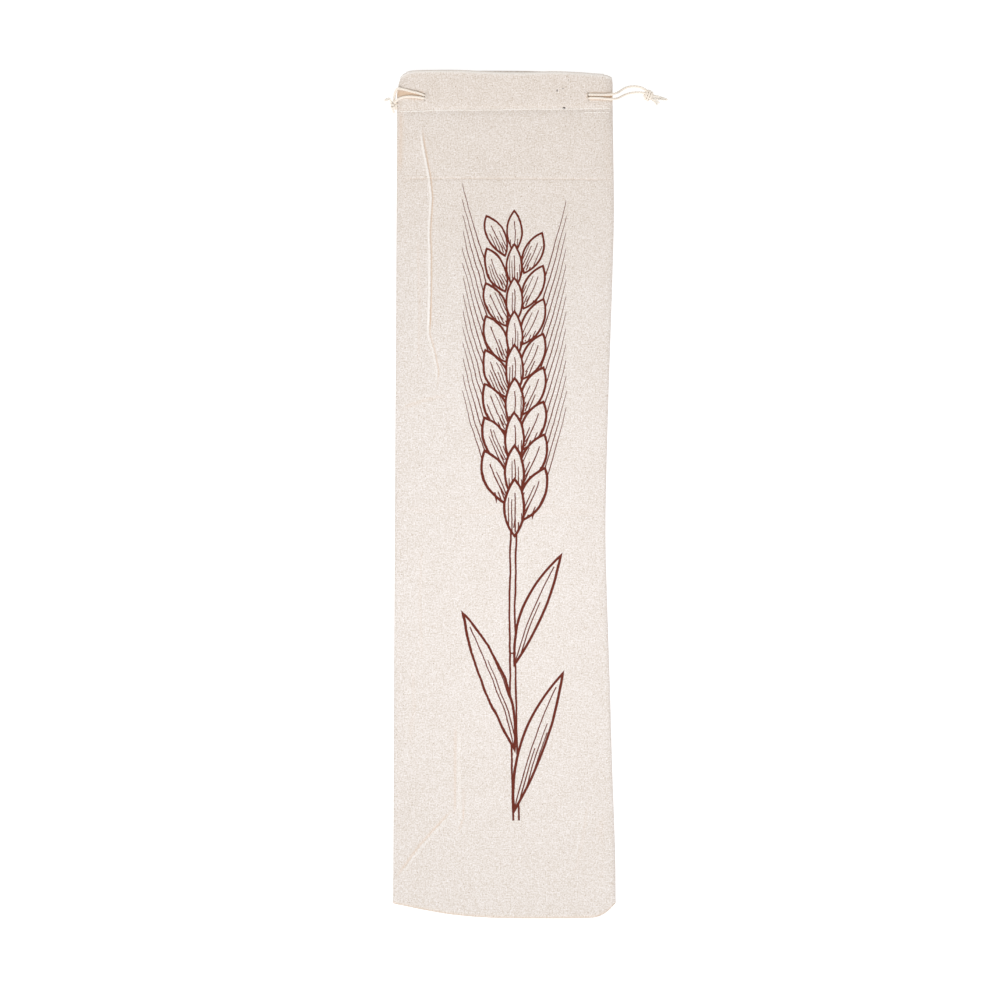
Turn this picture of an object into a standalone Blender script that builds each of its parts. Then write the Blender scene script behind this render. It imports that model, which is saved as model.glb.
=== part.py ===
"""A long drawstring bread bag of natural linen, lying flat on its back with its mouth slightly parted.

Two cloth panels meet in a seam round both sides and the bottom. The mouth of each panel is folded
inside and stitched down as a casing, and two drawstrings run round the casing: one comes out of a slit
near each side of the front panel and ends in a knot with two frayed tails.

X runs across the bag, Y from the bottom seam to the mouth, Z up from the surface it lies on. The origin
is under the middle of the bag. Sizes are in millimetres and become metres where a mesh is made.
"""

import math

import bmesh
import bpy
from mathutils import Vector

MM = 0.001

# Cloth, cord and the gaps between pieces.
CLOTH = 1.0  # one layer
CORD = 2.0  # drawstring diameter
GAP = 0.3  # kept clear between two pieces that touch
CHANNEL = 3.0  # height of the casing's inside, round the cord
CASING_STEP = CHANNEL + CLOTH  # from the middle of the outer layer to the middle of the hem
FOLD_RADIUS = CASING_STEP / 2  # the mouth's fold, at the middle of the cloth

LENGTH = 640.0
BASE = -LENGTH / 2  # the bottom, along Y

# The outline. Its left edge hangs nearly straight; its right edge is waisted.
SIDES = (  # y, left edge x, right edge x
    (-309.0, -84.0, 84.1),
    (-268.0, -83.7, 83.6),
    (-208.0, -83.4, 81.5),
    (-148.0, -83.2, 79.8),
    (-87.0, -82.9, 77.8),
    (-27.0, -82.6, 76.4),
    (34.0, -82.3, 77.5),
    (94.0, -81.9, 79.3),
    (154.0, -81.6, 81.3),
    (215.0, -81.3, 82.8),
    (275.0, -80.9, 82.1),
    (302.0, -80.1, 81.7),
    (309.0, -79.0, 81.3),
    (314.0, -77.5, 80.2),
)
ENDS = (  # share across from the left, bottom y, back panel's top y, front panel's top y
    (0.00, -308.7, 314.0, 314.0),
    (0.03, -309.8, 317.8, 317.8),
    (0.06, -310.8, 319.5, 319.5),
    (0.14, -313.6, 320.0, 320.0),
    (0.27, -317.2, 320.0, 319.9),
    (0.44, -319.5, 320.0, 318.6),
    (0.60, -320.0, 319.8, 318.3),
    (0.72, -320.0, 319.2, 318.9),
    (0.85, -319.8, 318.3, 318.2),
    (0.92, -318.8, 317.5, 317.4),
    (0.96, -315.0, 316.6, 316.6),
    (1.00, -308.3, 313.6, 313.6),
)
LEFT, RIGHT = 1, 2
BOTTOM, BACK_TOP, FRONT_TOP = 1, 2, 3

# How the empty bag lies: heights above the surface, by distance along Y.
HEIGHTS = (  # y, seam, side shoulder, rounding width, crown at the middle, crown's squareness
    (-320.0, 1.60, 1.30, 3.2, 0.0, 2.2),
    (-300.0, 1.60, 1.30, 3.2, 1.6, 2.2),
    (-262.0, 1.60, 1.30, 3.2, 4.0, 2.2),
    (-190.0, 1.60, 1.30, 3.2, 5.4, 2.3),
    (-60.0, 1.60, 1.30, 3.2, 6.0, 2.4),
    (110.0, 1.60, 1.30, 3.2, 6.4, 2.4),
    (215.0, 1.70, 1.40, 3.4, 6.8, 2.5),
    (250.0, 2.70, 2.10, 4.6, 6.6, 2.8),
    (280.0, 4.30, 3.20, 6.2, 6.1, 3.3),
    (292.0, 4.50, 3.45, 6.5, 5.9, 3.4),
    (320.0, 4.50, 3.45, 6.5, 5.9, 3.4),
)
SEAM, SHOULDER, ROUNDING, CROWN, SQUARENESS = 1, 2, 3, 4, 5
SKIRT = 0.5  # the last straight stretch of each panel, down or up to the seam

# The casing's stitch line and its hem.
STITCH_MIDDLE_Y = 289.8
STITCH_SLOPE = 0.019  # it rises a little towards the right
STITCH_DIP, STITCH_DIP_REACH = 0.7, 2.2
CHANNEL_OPENS = 4.2  # above the stitches the hem is clear of the panel
HEM_BELOW_STITCH = 2.5
HEM_ROWS = (18.0, 10.0, CHANNEL_OPENS, 2.8, 1.4, 0.2, -HEM_BELOW_STITCH)  # above the stitches
HEM_LEFT, HEM_RIGHT = -70.5, 72.0  # the folded mouth runs between these
HEM_DRAWN_IN = 1.5
FOLD_STEPS = 4

# Long creases pressed into the front panel.
CREASES = (  # height, reach to each side, its path
    (1.3, 1.7, ((-62.8, 271.0), (-56.4, 239.0), (-55.0, 222.0), (-56.0, 124.0), (-49.5, 86.0))),
    (0.9, 4.5, ((-80.5, -288.0), (-58.0, -262.0), (-42.0, -243.0), (-34.0, -236.0))),
    (0.7, 4.5, ((-33.0, -236.0), (-31.0, -222.0), (-34.5, -190.0), (-36.0, -158.0))),
    (-0.4, 4.0, ((-58.0, 238.0), (80.0, 238.5))),
    (0.5, 5.0, ((-80.0, 66.0), (-62.0, 73.0), (-40.0, 78.0))),
)
FIRST_CREASE = CREASES[0][2]
CREASE_FADE = 14.0  # each end of a crease fades out over this length

# Where a panel's rows and columns of points lie: close together wherever the cloth bends sharply.
NEAR_EDGE = (0.0, 0.35, 1.3, 3.2, 6.6)  # in from a side
BESIDE_CREASE = (-5.5, -1.8, -0.5, 0.8, 2.6, 7.0)  # to each side of the first crease
LAST_WIDE_COLUMN = 11.0  # in from a side
NEAR_SEAM = (0.0, 0.35, 1.3, 3.2, 8.0, 16.0)  # up from the bottom
BODY_TOP, BODY_ROWS = 590.0, 36  # evenly spaced rows up to the casing
FRONT_CASING_ROWS = (597.0, 602.0, 605.0, 607.0, 609.0, 611.5, 615.0, 620.0, 626.0, 632.0, 636.0)
BACK_CASING_ROWS = (600.0, 612.0, 624.0, 632.0, 636.0)

# The slits that the drawstrings come out of, near each end of the front casing.
SLIT_Y = 300.75
SLIT_X = {"right": 65.6, "left": -63.4}
SLIT_LENGTH, SLIT_HEIGHT, SLIT_DEPTH = 8.6, 6.0, 2.6
SLIT_SIDES, SLIT_SQUARENESS = 16, 0.45

# The drawstrings. Each passes its slit as two strands, and turns round both side seams in the casing.
UPPER_Y, LOWER_Y = SLIT_Y + 1.35, SLIT_Y - 1.35
SLIT_PASS = (  # outwards from the slit's middle, share of the way up from inside
    (6.0, 1.0),
    (4.2, 1.0),
    (2.2, 0.88),
    (0.0, 0.5),
    (-2.2, 0.12),
    (-4.2, 0.0),
    (-6.0, 0.0),
)
TURN_X = {"right": 73.4, "left": -71.6}  # the turns round the side seams start here
RIGHT_FREE_UPPER = (  # x, y, z from the knot to the bag's edge
    (106.0, 305.9, 2.5),
    (102.5, 307.5, 1.6),
    (97.2, 307.8, 1.4),
    (92.4, 306.6, 2.3),
    (88.6, 304.9, 4.6),
    (85.4, 303.3, 8.0),
    (82.0, 302.4, 10.6),
)
RIGHT_FREE_LOWER = (  # from the bag's edge to the knot
    (82.2, 298.4, 10.4),
    (85.6, 298.8, 7.8),
    (88.8, 300.2, 4.4),
    (92.6, 301.8, 2.2),
    (97.4, 303.1, 1.4),
    (102.0, 303.5, 1.7),
    (106.0, 303.2, 2.5),
)
LEFT_FREE_UPPER = (
    (-84.3, 297.4, 6.3),
    (-85.7, 300.2, 5.9),
    (-86.4, 303.0, 6.0),
    (-86.0, 305.8, 7.0),
    (-84.2, 307.6, 8.7),
)
LEFT_FREE_LOWER = ((-82.0, 297.4, 8.1),)
KNOTS = (  # name, centre, size, turn in degrees
    ("right_knot", (109.4, 301.6, 2.9), (5.8, 9.6, 5.6), (0.0, 0.0, 14.0)),
    ("left_knot", (-83.4, 293.0, 6.4), (6.0, 8.8, 5.4), (0.0, -38.0, -14.0)),
)
KNOT_WRAPS, KNOT_RIDGE, KNOT_SLANT = 3, 0.16, 0.8
TAILS = (  # name, route from its knot
    ("right_tail_long", ((112.9, 301.6, 2.2), (117.0, 300.4, 1.4), (123.4, 299.2, 1.0))),
    ("right_tail_short", ((112.0, 298.2, 2.0), (114.6, 296.6, 1.4), (117.6, 294.0, 1.0))),
    ("left_tail_long", ((-85.9, 294.8, 5.2), (-88.2, 296.8, 4.0), (-91.4, 298.4, 2.8))),
    ("left_tail_short", ((-84.7, 289.4, 4.3), (-85.7, 287.6, 2.9), (-86.4, 285.6, 2.0))),
)
TAIL_SIDES = 8
TAIL_WIDTH = (0.9, 1.25)  # times the cord's, at the knot and where its plies have frayed open
TAIL_THICKNESS = (0.9, 0.55)

CLOTH_COLOUR = (0.80, 0.72, 0.63, 1.0)
CORD_COLOUR = (0.86, 0.79, 0.70, 1.0)


def along(table, column, at):
    """The value of a table's column at a place between its rows, on a smooth curve through them."""
    if at <= table[0][0]:
        return table[0][column]
    if at >= table[-1][0]:
        return table[-1][column]
    after = next(i for i, row in enumerate(table) if row[0] > at)
    rows = [table[max(0, min(len(table) - 1, after + step))] for step in (-2, -1, 0, 1)]
    before, start, end, beyond = rows
    width = end[0] - start[0]
    share = (at - start[0]) / width
    rise = end[column] - start[column]
    slope_in = rise if before is start else (end[column] - before[column]) / (end[0] - before[0]) * width
    slope_out = rise if beyond is end else (beyond[column] - start[column]) / (beyond[0] - start[0]) * width
    if rise * slope_in <= 0:
        slope_in = 0.0
    if rise * slope_out <= 0:
        slope_out = 0.0
    cube, square = share**3, share**2
    return (
        start[column] * (2 * cube - 3 * square + 1)
        + slope_in * (cube - 2 * square + share)
        + end[column] * (3 * square - 2 * cube)
        + slope_out * (cube - square)
    )


def eased(share):
    """0 to 1, starting and ending level."""
    share = max(0.0, min(1.0, share))
    return share * share * (3 - 2 * share)


def quarter_round(distance, width):
    """Height of a quarter ellipse at a distance in from its edge, as a share of its full height."""
    inward = 1 - min(max(distance, 0.0) / width, 1.0)
    return math.sqrt(1 - inward * inward)


def share_across(x, y):
    left, right = along(SIDES, LEFT, y), along(SIDES, RIGHT, y)
    return (x - left) / (right - left)


def stitch_y(x):
    return STITCH_MIDDLE_Y + STITCH_SLOPE * x


def nearest_on(path, x, y):
    """Distance from a point to a path, and how far along the path that is, with the path's length."""
    best, best_along, passed = math.inf, 0.0, 0.0
    for (ax, ay), (bx, by) in zip(path, path[1:]):
        length = math.hypot(bx - ax, by - ay)
        share = ((x - ax) * (bx - ax) + (y - ay) * (by - ay)) / length**2
        share = max(0.0, min(1.0, share))
        distance = math.hypot(x - ax - share * (bx - ax), y - ay - share * (by - ay))
        if distance < best:
            best, best_along = distance, passed + share * length
        passed += length
    return best, best_along, passed


def crease_height(x, y):
    total = 0.0
    for height, reach, path in CREASES:
        distance, at, length = nearest_on(path, x, y)
        fade = eased(at / CREASE_FADE) * eased((length - at) / CREASE_FADE)
        total += height * fade * math.exp(-((distance / reach) ** 2))
    return total


def edge_rounding(x, y):
    """0 at the bag's sides and bottom, 1 inside their rounded edges."""
    width = along(HEIGHTS, ROUNDING, y)
    to_side = min(x - along(SIDES, LEFT, y), along(SIDES, RIGHT, y) - x) - CLOTH / 2
    to_bottom = y - along(ENDS, BOTTOM, share_across(x, y)) - CLOTH / 2
    return quarter_round(to_side, width) * quarter_round(to_bottom, width)


def front_height(x, y):
    """Middle of the front panel's outer layer."""
    seam = along(HEIGHTS, SEAM, y) + GAP / 2 + SKIRT
    off_middle = min(1.0, abs(2 * share_across(x, y) - 1))
    crown = 1 - off_middle ** along(HEIGHTS, SQUARENESS, y)
    inside = edge_rounding(x, y)
    dip = STITCH_DIP * math.exp(-(((y - stitch_y(x)) / STITCH_DIP_REACH) ** 2))
    shoulder = along(HEIGHTS, SHOULDER, y) * inside
    return seam + shoulder + inside * (along(HEIGHTS, CROWN, y) * crown + crease_height(x, y) - dip)


def back_height(x, y):
    """Middle of the back panel's outer layer: flat on the surface, turned up at its edge."""
    seam = along(HEIGHTS, SEAM, y) - GAP / 2 - SKIRT
    return CLOTH / 2 + (seam - CLOTH / 2) * (1 - edge_rounding(x, y))


def hem_step(x, y):
    """How far the hem lies from its panel: apart over the cord, together at the stitches."""
    opened = eased((y - stitch_y(x)) / CHANNEL_OPENS)
    return CLOTH + GAP + (CASING_STEP - CLOTH - GAP) * opened


def raised(height, x, y, by):
    """A point at a distance off a panel's middle surface, square to its slope there."""
    step = 0.2
    slope_x = (height(x + step, y) - height(x - step, y)) / (2 * step)
    slope_y = (height(x, y + step) - height(x, y - step)) / (2 * step)
    return Vector((x, y, height(x, y))) + Vector((-slope_x, -slope_y, 1.0)).normalized() * by


def first_crease_x(y):
    """Where the long crease near the left edge is, so that the front panel's columns can follow it."""
    rows = tuple((point[1], point[0]) for point in reversed(FIRST_CREASE))
    return along(rows, 1, y)


def between(start, end, steps):
    """Evenly spaced places from start to end, without either."""
    return [start + (end - start) * step / steps for step in range(1, steps)]


def panel_edges(y):
    """X of the outer layer's two edges at y, at the middle of the cloth."""
    return along(SIDES, LEFT, y) + CLOTH / 2, along(SIDES, RIGHT, y) - CLOTH / 2


def front_columns(y):
    """X of each column of the front panel at y; some of them follow its first crease."""
    left, right = panel_edges(y)
    crease = [first_crease_x(y) + step for step in BESIDE_CREASE]
    end = right - LAST_WIDE_COLUMN
    left_columns = [left + step for step in NEAR_EDGE]
    right_columns = [right - step for step in reversed(NEAR_EDGE)]
    return left_columns + crease + between(crease[-1], end, 9) + [end] + right_columns


def back_columns(y):
    """X of each column of the back panel at y."""
    left, right = panel_edges(y)
    start, end = left + LAST_WIDE_COLUMN, right - LAST_WIDE_COLUMN
    left_columns = [left + step for step in NEAR_EDGE]
    right_columns = [right - step for step in reversed(NEAR_EDGE)]
    return left_columns + [start] + between(start, end, 6) + [end] + right_columns


def row_shares(casing_rows):
    """Shares of the outer layer's length for the rows of a panel, from its bottom to its mouth."""
    body = between(NEAR_SEAM[-1], BODY_TOP, BODY_ROWS)
    return [distance / casing_rows[-1] for distance in (*NEAR_SEAM, *body, BODY_TOP, *casing_rows)]


def panel_grid(columns, shares, top_column):
    """Points (x, y) of a panel's outer layer, in rows from the bottom seam to the mouth's fold."""
    grid = []
    for share_up in shares:
        row = []
        for k in range(len(columns(0.0))):
            y = BASE + LENGTH * share_up
            for _ in range(4):  # the columns move with y, so it settles in a few steps
                x = columns(y)[k]
                across = share_across(x, y)
                bottom = along(ENDS, BOTTOM, across) + CLOTH / 2
                hemmed = eased(min(x - HEM_LEFT, HEM_RIGHT - x) / 5.0 + 1.0)
                top = along(ENDS, top_column, across) - CLOTH / 2 - FOLD_RADIUS * hemmed
                y = bottom + (top - bottom) * share_up
            row.append((columns(y)[k], y))
        grid.append(row)
    return grid


def new_object(name, data, material=None):
    """Links a new object and gives it its material."""
    made = bpy.data.objects.new(name, data)
    bpy.context.scene.collection.objects.link(made)
    if material:
        data.materials.append(material)
    return made


def finish_mesh(mesh, name):
    """Turns a bmesh into a smooth-shaded mesh whose faces all look outwards."""
    bmesh.ops.recalc_face_normals(mesh, faces=mesh.faces)
    data = bpy.data.meshes.new(name)
    mesh.to_mesh(data)
    mesh.free()
    data.shade_smooth()
    return data


def strip(mesh, upper, lower):
    """A strip of faces between two rows with the same number of vertices."""
    for k in range(1, len(upper)):
        mesh.faces.new((upper[k - 1], upper[k], lower[k], lower[k - 1]))


def outer_ring(rows, first, last):
    """What lies along the panel's edge, in order: from the hem round by the left side and the bottom."""
    ring = list(reversed(rows[-1][: first + 1]))
    ring += [row[0] for row in reversed(rows[:-1])]
    ring += rows[0][1:]
    ring += [row[-1] for row in rows[1:]]
    return ring + list(reversed(rows[-1][last:-1]))


def build_panel(name, grid, height, side, material):
    """One panel: its outer layer, a short skirt to the seam, and the mouth folded in as a hem.

    side is 1 for the front panel, whose hem lies under it, and -1 for the back panel.
    """
    mesh = bmesh.new()

    def vertex(x, y, z):
        return mesh.verts.new((x * MM, y * MM, z * MM))

    rows = [[vertex(x, y, height(x, y)) for x, y in row] for row in grid]
    for upper, lower in zip(rows, rows[1:]):
        strip(mesh, upper, lower)

    # The mouth's fold and hem, along the columns between its two ends, which draw in a little.
    hemmed = [k for k, (x, _) in enumerate(grid[-1]) if HEM_LEFT <= x <= HEM_RIGHT]
    first, last = hemmed[0], hemmed[-1]

    def mouth_points(share):
        mouth = [list(point) for point in grid[-1][first : last + 1]]
        mouth[0][0] += HEM_DRAWN_IN * share
        mouth[-1][0] -= HEM_DRAWN_IN * share
        return mouth

    before = rows[-1][first : last + 1]
    for step in range(1, FOLD_STEPS + 1):
        turn = math.pi * step / FOLD_STEPS
        inwards = side * FOLD_RADIUS * (1 - math.cos(turn))
        beyond = FOLD_RADIUS * math.sin(turn)
        folded = [vertex(x, y + beyond, height(x, y) - inwards) for x, y in mouth_points(step / FOLD_STEPS)]
        strip(mesh, before, folded)
        before = folded
    for above in HEM_ROWS:
        hem_points = [(x, stitch_y(x) + above) for x, _ in mouth_points(1.0)]
        hem = [vertex(x, y, height(x, y) - side * hem_step(x, y)) for x, y in hem_points]
        strip(mesh, before, hem)
        before = hem

    # The skirt runs round the sides and bottom, and over both corners of the mouth to the hem.
    seam = [
        vertex(x, y, along(HEIGHTS, SEAM, y) + side * GAP / 2) for x, y in outer_ring(grid, first, last)
    ]
    strip(mesh, outer_ring(rows, first, last), seam)

    panel = new_object(name, finish_mesh(mesh, name), material)
    thicken = panel.modifiers.new("Cloth thickness", "SOLIDIFY")
    thicken.thickness = CLOTH * MM
    thicken.offset = 0.0
    thicken.use_quality_normals = True
    return panel


def squared(share):
    """A sine or cosine drawn towards -1 or 1, which makes a circle into a rounded square."""
    return math.copysign(abs(share) ** SLIT_SQUARENESS, share)


def cut_slit(panel, side):
    """Cuts the slit that one drawstring comes out of, through the outer layer alone."""
    mesh = bmesh.new()
    rims = []
    for z in (-SLIT_DEPTH / 2, SLIT_DEPTH / 2):
        turns = [2 * math.pi * (step + 0.5) / SLIT_SIDES for step in range(SLIT_SIDES)]
        rim = [
            (squared(math.cos(turn)) * SLIT_LENGTH / 2, squared(math.sin(turn)) * SLIT_HEIGHT / 2)
            for turn in turns
        ]
        rims.append([mesh.verts.new((x * MM, y * MM, z * MM)) for x, y in rim])
    below, above = rims
    strip(mesh, [*below, below[0]], [*above, above[0]])
    mesh.faces.new(below)
    mesh.faces.new(above)
    cutter = new_object(side + "_slit_cutter", finish_mesh(mesh, side + "_slit_cutter"))
    middle = raised(front_height, SLIT_X[side], SLIT_Y, 0.0)
    square_to_cloth = raised(front_height, SLIT_X[side], SLIT_Y, 1.0) - middle
    cutter.rotation_euler = Vector((0, 0, 1)).rotation_difference(square_to_cloth).to_euler()
    cutter.location = middle * MM
    cutter.hide_render = True
    cutter.display_type = "WIRE"
    cut = panel.modifiers.new(side + " slit", "BOOLEAN")
    cut.operation = "DIFFERENCE"
    cut.solver = "EXACT"
    cut.object = cutter


def inside_front(x, y):
    """A point of a drawstring in the front casing."""
    return raised(front_height, x, y, -(CLOTH + CHANNEL) / 2)


def inside_back(x, y):
    """A point of a drawstring in the back casing."""
    return raised(back_height, x, y, (CLOTH + CHANNEL) / 2)


def on_front(x, y):
    """A point of a drawstring that lies on the front panel."""
    return raised(front_height, x, y, (CLOTH + CORD) / 2 + 1.5 * GAP)


def round_side(side, front_y, back_y):
    """Points of a drawstring's half turn inside the side seam, from the front casing to the back."""
    x = TURN_X[side]
    start, end = inside_front(x, front_y), inside_back(x, back_y)
    middle, half = (start + end) / 2, (start - end) / 2
    outward = math.copysign(half.length, x)
    turns = [math.pi * step / 8 for step in range(9)]
    return [middle + half * math.cos(t) + Vector((outward * math.sin(t), 0, 0)) for t in turns]


def through_slit(side, strand_y):
    """Points of a strand from the top of the front panel down through the slit, into the casing."""
    outward = math.copysign(1.0, SLIT_X[side])
    points = []
    for step, up in SLIT_PASS:
        x = SLIT_X[side] + outward * step
        points.append(inside_front(x, strand_y).lerp(on_front(x, strand_y), up))
    return points


def placed(where, *places):
    """Points of a drawstring at places (x, y): on the front panel, or inside either casing."""
    return [where(x, y) for x, y in places]


def free(points):
    """Points of a drawstring clear of the bag."""
    return [Vector(point) for point in points]


def right_route():
    """The right drawstring, from its knot round the casing and back to the knot."""
    return [
        *free(RIGHT_FREE_UPPER),
        on_front(76.5, 302.3),
        *through_slit("right", UPPER_Y),
        *placed(inside_front, (56.4, 302.4), (53.4, 303.6), (52.2, 306.1), (53.4, 308.6)),
        *placed(inside_front, (56.4, 309.9), (62.0, 310.2), (68.0, 309.8)),
        *round_side("right", 309.2, 304.5),
        *placed(inside_back, (68.0, 304.5), (30.0, 304.3), (-20.0, 304.0), (-66.0, 303.5)),
        *reversed(round_side("left", 308.6, 303.5)),
        *placed(inside_front, (-68.0, 309.4), (-60.0, 310.9), (-53.0, 312.0), (-46.0, 312.2)),
        *placed(inside_front, (-30.0, 310.6), (0.0, 306.2), (26.0, 302.2), (46.0, 299.9)),
        *reversed(through_slit("right", LOWER_Y)),
        *placed(on_front, (74.0, 299.2), (77.0, 298.8)),
        *free(RIGHT_FREE_LOWER),
    ]


def left_route():
    """The left drawstring, from its knot round the casing and back to the knot."""
    return [
        *free(LEFT_FREE_UPPER),
        *placed(on_front, (-78.0, 307.8), (-76.6, 307.4), (-74.6, 306.7), (-71.6, 304.9)),
        *through_slit("left", UPPER_Y),
        *placed(inside_front, (-54.4, 302.3), (-51.2, 303.4), (-50.0, 305.6), (-51.2, 307.8)),
        *placed(inside_front, (-54.4, 308.7), (-60.0, 307.7), (-67.0, 305.6)),
        *round_side("left", 304.6, 299.5),
        *placed(inside_back, (-66.0, 299.5), (-20.0, 300.0), (30.0, 300.6), (68.0, 301.0)),
        *reversed(round_side("right", 296.4, 301.0)),
        *placed(inside_front, (70.0, 296.3), (62.0, 296.2), (46.0, 296.4), (0.0, 297.4)),
        *placed(inside_front, (-40.0, 298.9), (-50.0, 299.4)),
        *reversed(through_slit("left", LOWER_Y)),
        *placed(on_front, (-73.4, 299.7), (-75.8, 299.4), (-78.0, 298.8)),
        *free(LEFT_FREE_LOWER),
    ]


def smooth_line(points, samples=6):
    """Points on a smooth curve through the route's own points."""
    ends = [points[0] * 2 - points[1], *points, points[-1] * 2 - points[-2]]
    line = []
    for before, start, end, beyond in zip(ends, ends[1:], ends[2:], ends[3:]):
        reach = (end - start).length
        slope_in = ((end - before) / ((end - start).length + (start - before).length)) * reach
        slope_out = ((beyond - start) / ((beyond - end).length + reach)) * reach
        for step in range(samples):
            s = step / samples
            cube, square = s**3, s**2
            line.append(
                start * (2 * cube - 3 * square + 1)
                + slope_in * (cube - 2 * square + s)
                + end * (3 * square - 2 * cube)
                + slope_out * (cube - square)
            )
    return [*line, points[-1]]


def thinned(line, bend=math.radians(12), longest=16.0):
    """Fewer points: one wherever the line has turned enough, or has run a good way straight."""
    kept = [line[0]]
    for here, after in zip(line[1:], line[2:]):
        turned = (here - kept[-1]).angle(after - here)
        if turned > bend or (here - kept[-1]).length > longest:
            kept.append(here)
    return [*kept, line[-1]]


def build_cord(name, line, material):
    """A round cord along a line of points."""
    curve = bpy.data.curves.new(name, "CURVE")
    curve.dimensions = "3D"
    curve.bevel_depth = CORD / 2 * MM
    curve.bevel_resolution = 2
    curve.use_fill_caps = True
    spline = curve.splines.new("POLY")
    spline.points.add(len(line) - 1)
    for point, place in zip(spline.points, line):
        point.co = (*(place * MM), 1.0)
    new_object(name, curve, material)


def build_knot(name, centre, size, turn, material):
    """An overhand knot as a rounded lump with the cord's wraps standing round it as slanting ridges."""
    mesh = bmesh.new()
    bmesh.ops.create_uvsphere(mesh, u_segments=20, v_segments=12, radius=1.0)
    for vertex in mesh.verts:
        direction = vertex.co.normalized()
        around = math.atan2(direction.z, direction.x)
        band = math.cos(math.pi * KNOT_WRAPS * direction.y + KNOT_SLANT * math.sin(around))
        away_from_ends = math.sqrt(max(0.0, 1 - direction.y**2))
        swell = 1 - KNOT_RIDGE * away_from_ends * (0.5 - 0.5 * band)
        vertex.co = Vector([d * swell * s / 2 * MM for d, s in zip(direction, size)])
    knot = new_object(name, finish_mesh(mesh, name), material)
    knot.location = Vector(centre) * MM
    knot.rotation_euler = [math.radians(degrees) for degrees in turn]


def build_tail(name, route, material):
    """A cord's short free end, which widens and flattens where its plies have frayed open."""
    line = smooth_line(free(route), samples=3)
    mesh = bmesh.new()
    rings = []
    for k, place in enumerate(line):
        ahead = (line[min(k + 1, len(line) - 1)] - line[max(k - 1, 0)]).normalized()
        across = ahead.cross(Vector((0, 0, 1))).normalized()
        upward = across.cross(ahead)
        frayed = eased((k / (len(line) - 1) - 0.35) / 0.65)
        wide = CORD / 2 * (TAIL_WIDTH[0] + (TAIL_WIDTH[1] - TAIL_WIDTH[0]) * frayed)
        thick = CORD / 2 * (TAIL_THICKNESS[0] + (TAIL_THICKNESS[1] - TAIL_THICKNESS[0]) * frayed)
        ring = []
        for side in range(TAIL_SIDES):
            turn = 2 * math.pi * side / TAIL_SIDES
            offset = across * (math.cos(turn) * wide) + upward * (math.sin(turn) * thick)
            ring.append(mesh.verts.new((place + offset) * MM))
        rings.append(ring)
    for ring, after in zip(rings, rings[1:]):
        strip(mesh, [*ring, ring[0]], [*after, after[0]])
    mesh.faces.new(rings[0])
    mesh.faces.new(rings[-1])
    new_object(name, finish_mesh(mesh, name), material)


def make_material(name, colour, roughness):
    material = bpy.data.materials.new(name)
    material.use_nodes = True
    shader = material.node_tree.nodes["Principled BSDF"]
    shader.inputs["Base Color"].default_value = colour
    shader.inputs["Roughness"].default_value = roughness
    shader.inputs["Metallic"].default_value = 0.0
    return material


def clear_scene():
    for old in list(bpy.data.objects):
        bpy.data.objects.remove(old)


def main():
    clear_scene()
    cloth = make_material("natural linen", CLOTH_COLOUR, 0.9)
    cotton = make_material("cotton cord", CORD_COLOUR, 0.85)

    front_grid = panel_grid(front_columns, row_shares(FRONT_CASING_ROWS), FRONT_TOP)
    front = build_panel("front_panel", front_grid, front_height, 1, cloth)
    cut_slit(front, "right")
    cut_slit(front, "left")
    back_grid = panel_grid(back_columns, row_shares(BACK_CASING_ROWS), BACK_TOP)
    build_panel("back_panel", back_grid, back_height, -1, cloth)

    build_cord("right_drawstring", thinned(smooth_line(right_route())), cotton)
    build_cord("left_drawstring", thinned(smooth_line(left_route())), cotton)
    for name, centre, size, turn in KNOTS:
        build_knot(name, centre, size, turn, cotton)
    for name, route in TAILS:
        build_tail(name, route, cotton)


main()
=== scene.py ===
# %% [markdown]
# # A linen bread bag, lying flat
#
# The real thing is two long panels of natural canvas, sewn together down both sides and across the
# bottom. The mouth of each panel is folded inside and stitched down as a casing, and two cotton cords
# run round it. Each comes out of a slit near one side and ends in a knot with two frayed tails.
#
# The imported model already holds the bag's size and place, so this lesson loads it as a fixed frame
# and only dresses it: finer cloth, twisted cords, stitches and materials.

# %% Load the frame
import math

import bmesh
import bpy
import numpy as np
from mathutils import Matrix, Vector, noise


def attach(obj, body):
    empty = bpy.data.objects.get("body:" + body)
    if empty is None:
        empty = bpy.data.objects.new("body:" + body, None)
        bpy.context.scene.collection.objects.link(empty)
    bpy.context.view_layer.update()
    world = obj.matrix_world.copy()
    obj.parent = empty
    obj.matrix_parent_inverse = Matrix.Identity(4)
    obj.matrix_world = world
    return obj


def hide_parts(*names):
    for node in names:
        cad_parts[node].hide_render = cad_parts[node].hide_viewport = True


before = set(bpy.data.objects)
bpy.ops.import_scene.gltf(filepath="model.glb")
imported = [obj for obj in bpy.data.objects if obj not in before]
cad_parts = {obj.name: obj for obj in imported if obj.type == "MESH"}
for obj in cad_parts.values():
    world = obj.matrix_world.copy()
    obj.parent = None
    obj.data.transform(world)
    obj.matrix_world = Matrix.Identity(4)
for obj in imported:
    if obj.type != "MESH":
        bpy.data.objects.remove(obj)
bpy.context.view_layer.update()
MM = 0.001  # the sizes below are in millimetres
print("nodes in the frame:", ", ".join(sorted(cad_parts)))

# %% [markdown]
# ## Camera
#
# The bag is seen from straight above, so the camera hangs over the middle of the view and looks
# down, which is what an unturned camera does. A long lens keeps the bag's outline from spreading at
# its near parts. Its height follows from how much of the floor the view takes in.

# %% Camera
VIEW_MIDDLE = (-3.2, -4.15, 4.0)
VIEW_WIDTH = 754.7  # of the plane through the view's middle
LENS, SENSOR = 200.0, 36.0


def add_object(name, data):
    """An object of the scene that shows a mesh, a lamp or a camera."""
    made = bpy.data.objects.new(name, data)
    bpy.context.scene.collection.objects.link(made)
    return made


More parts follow.
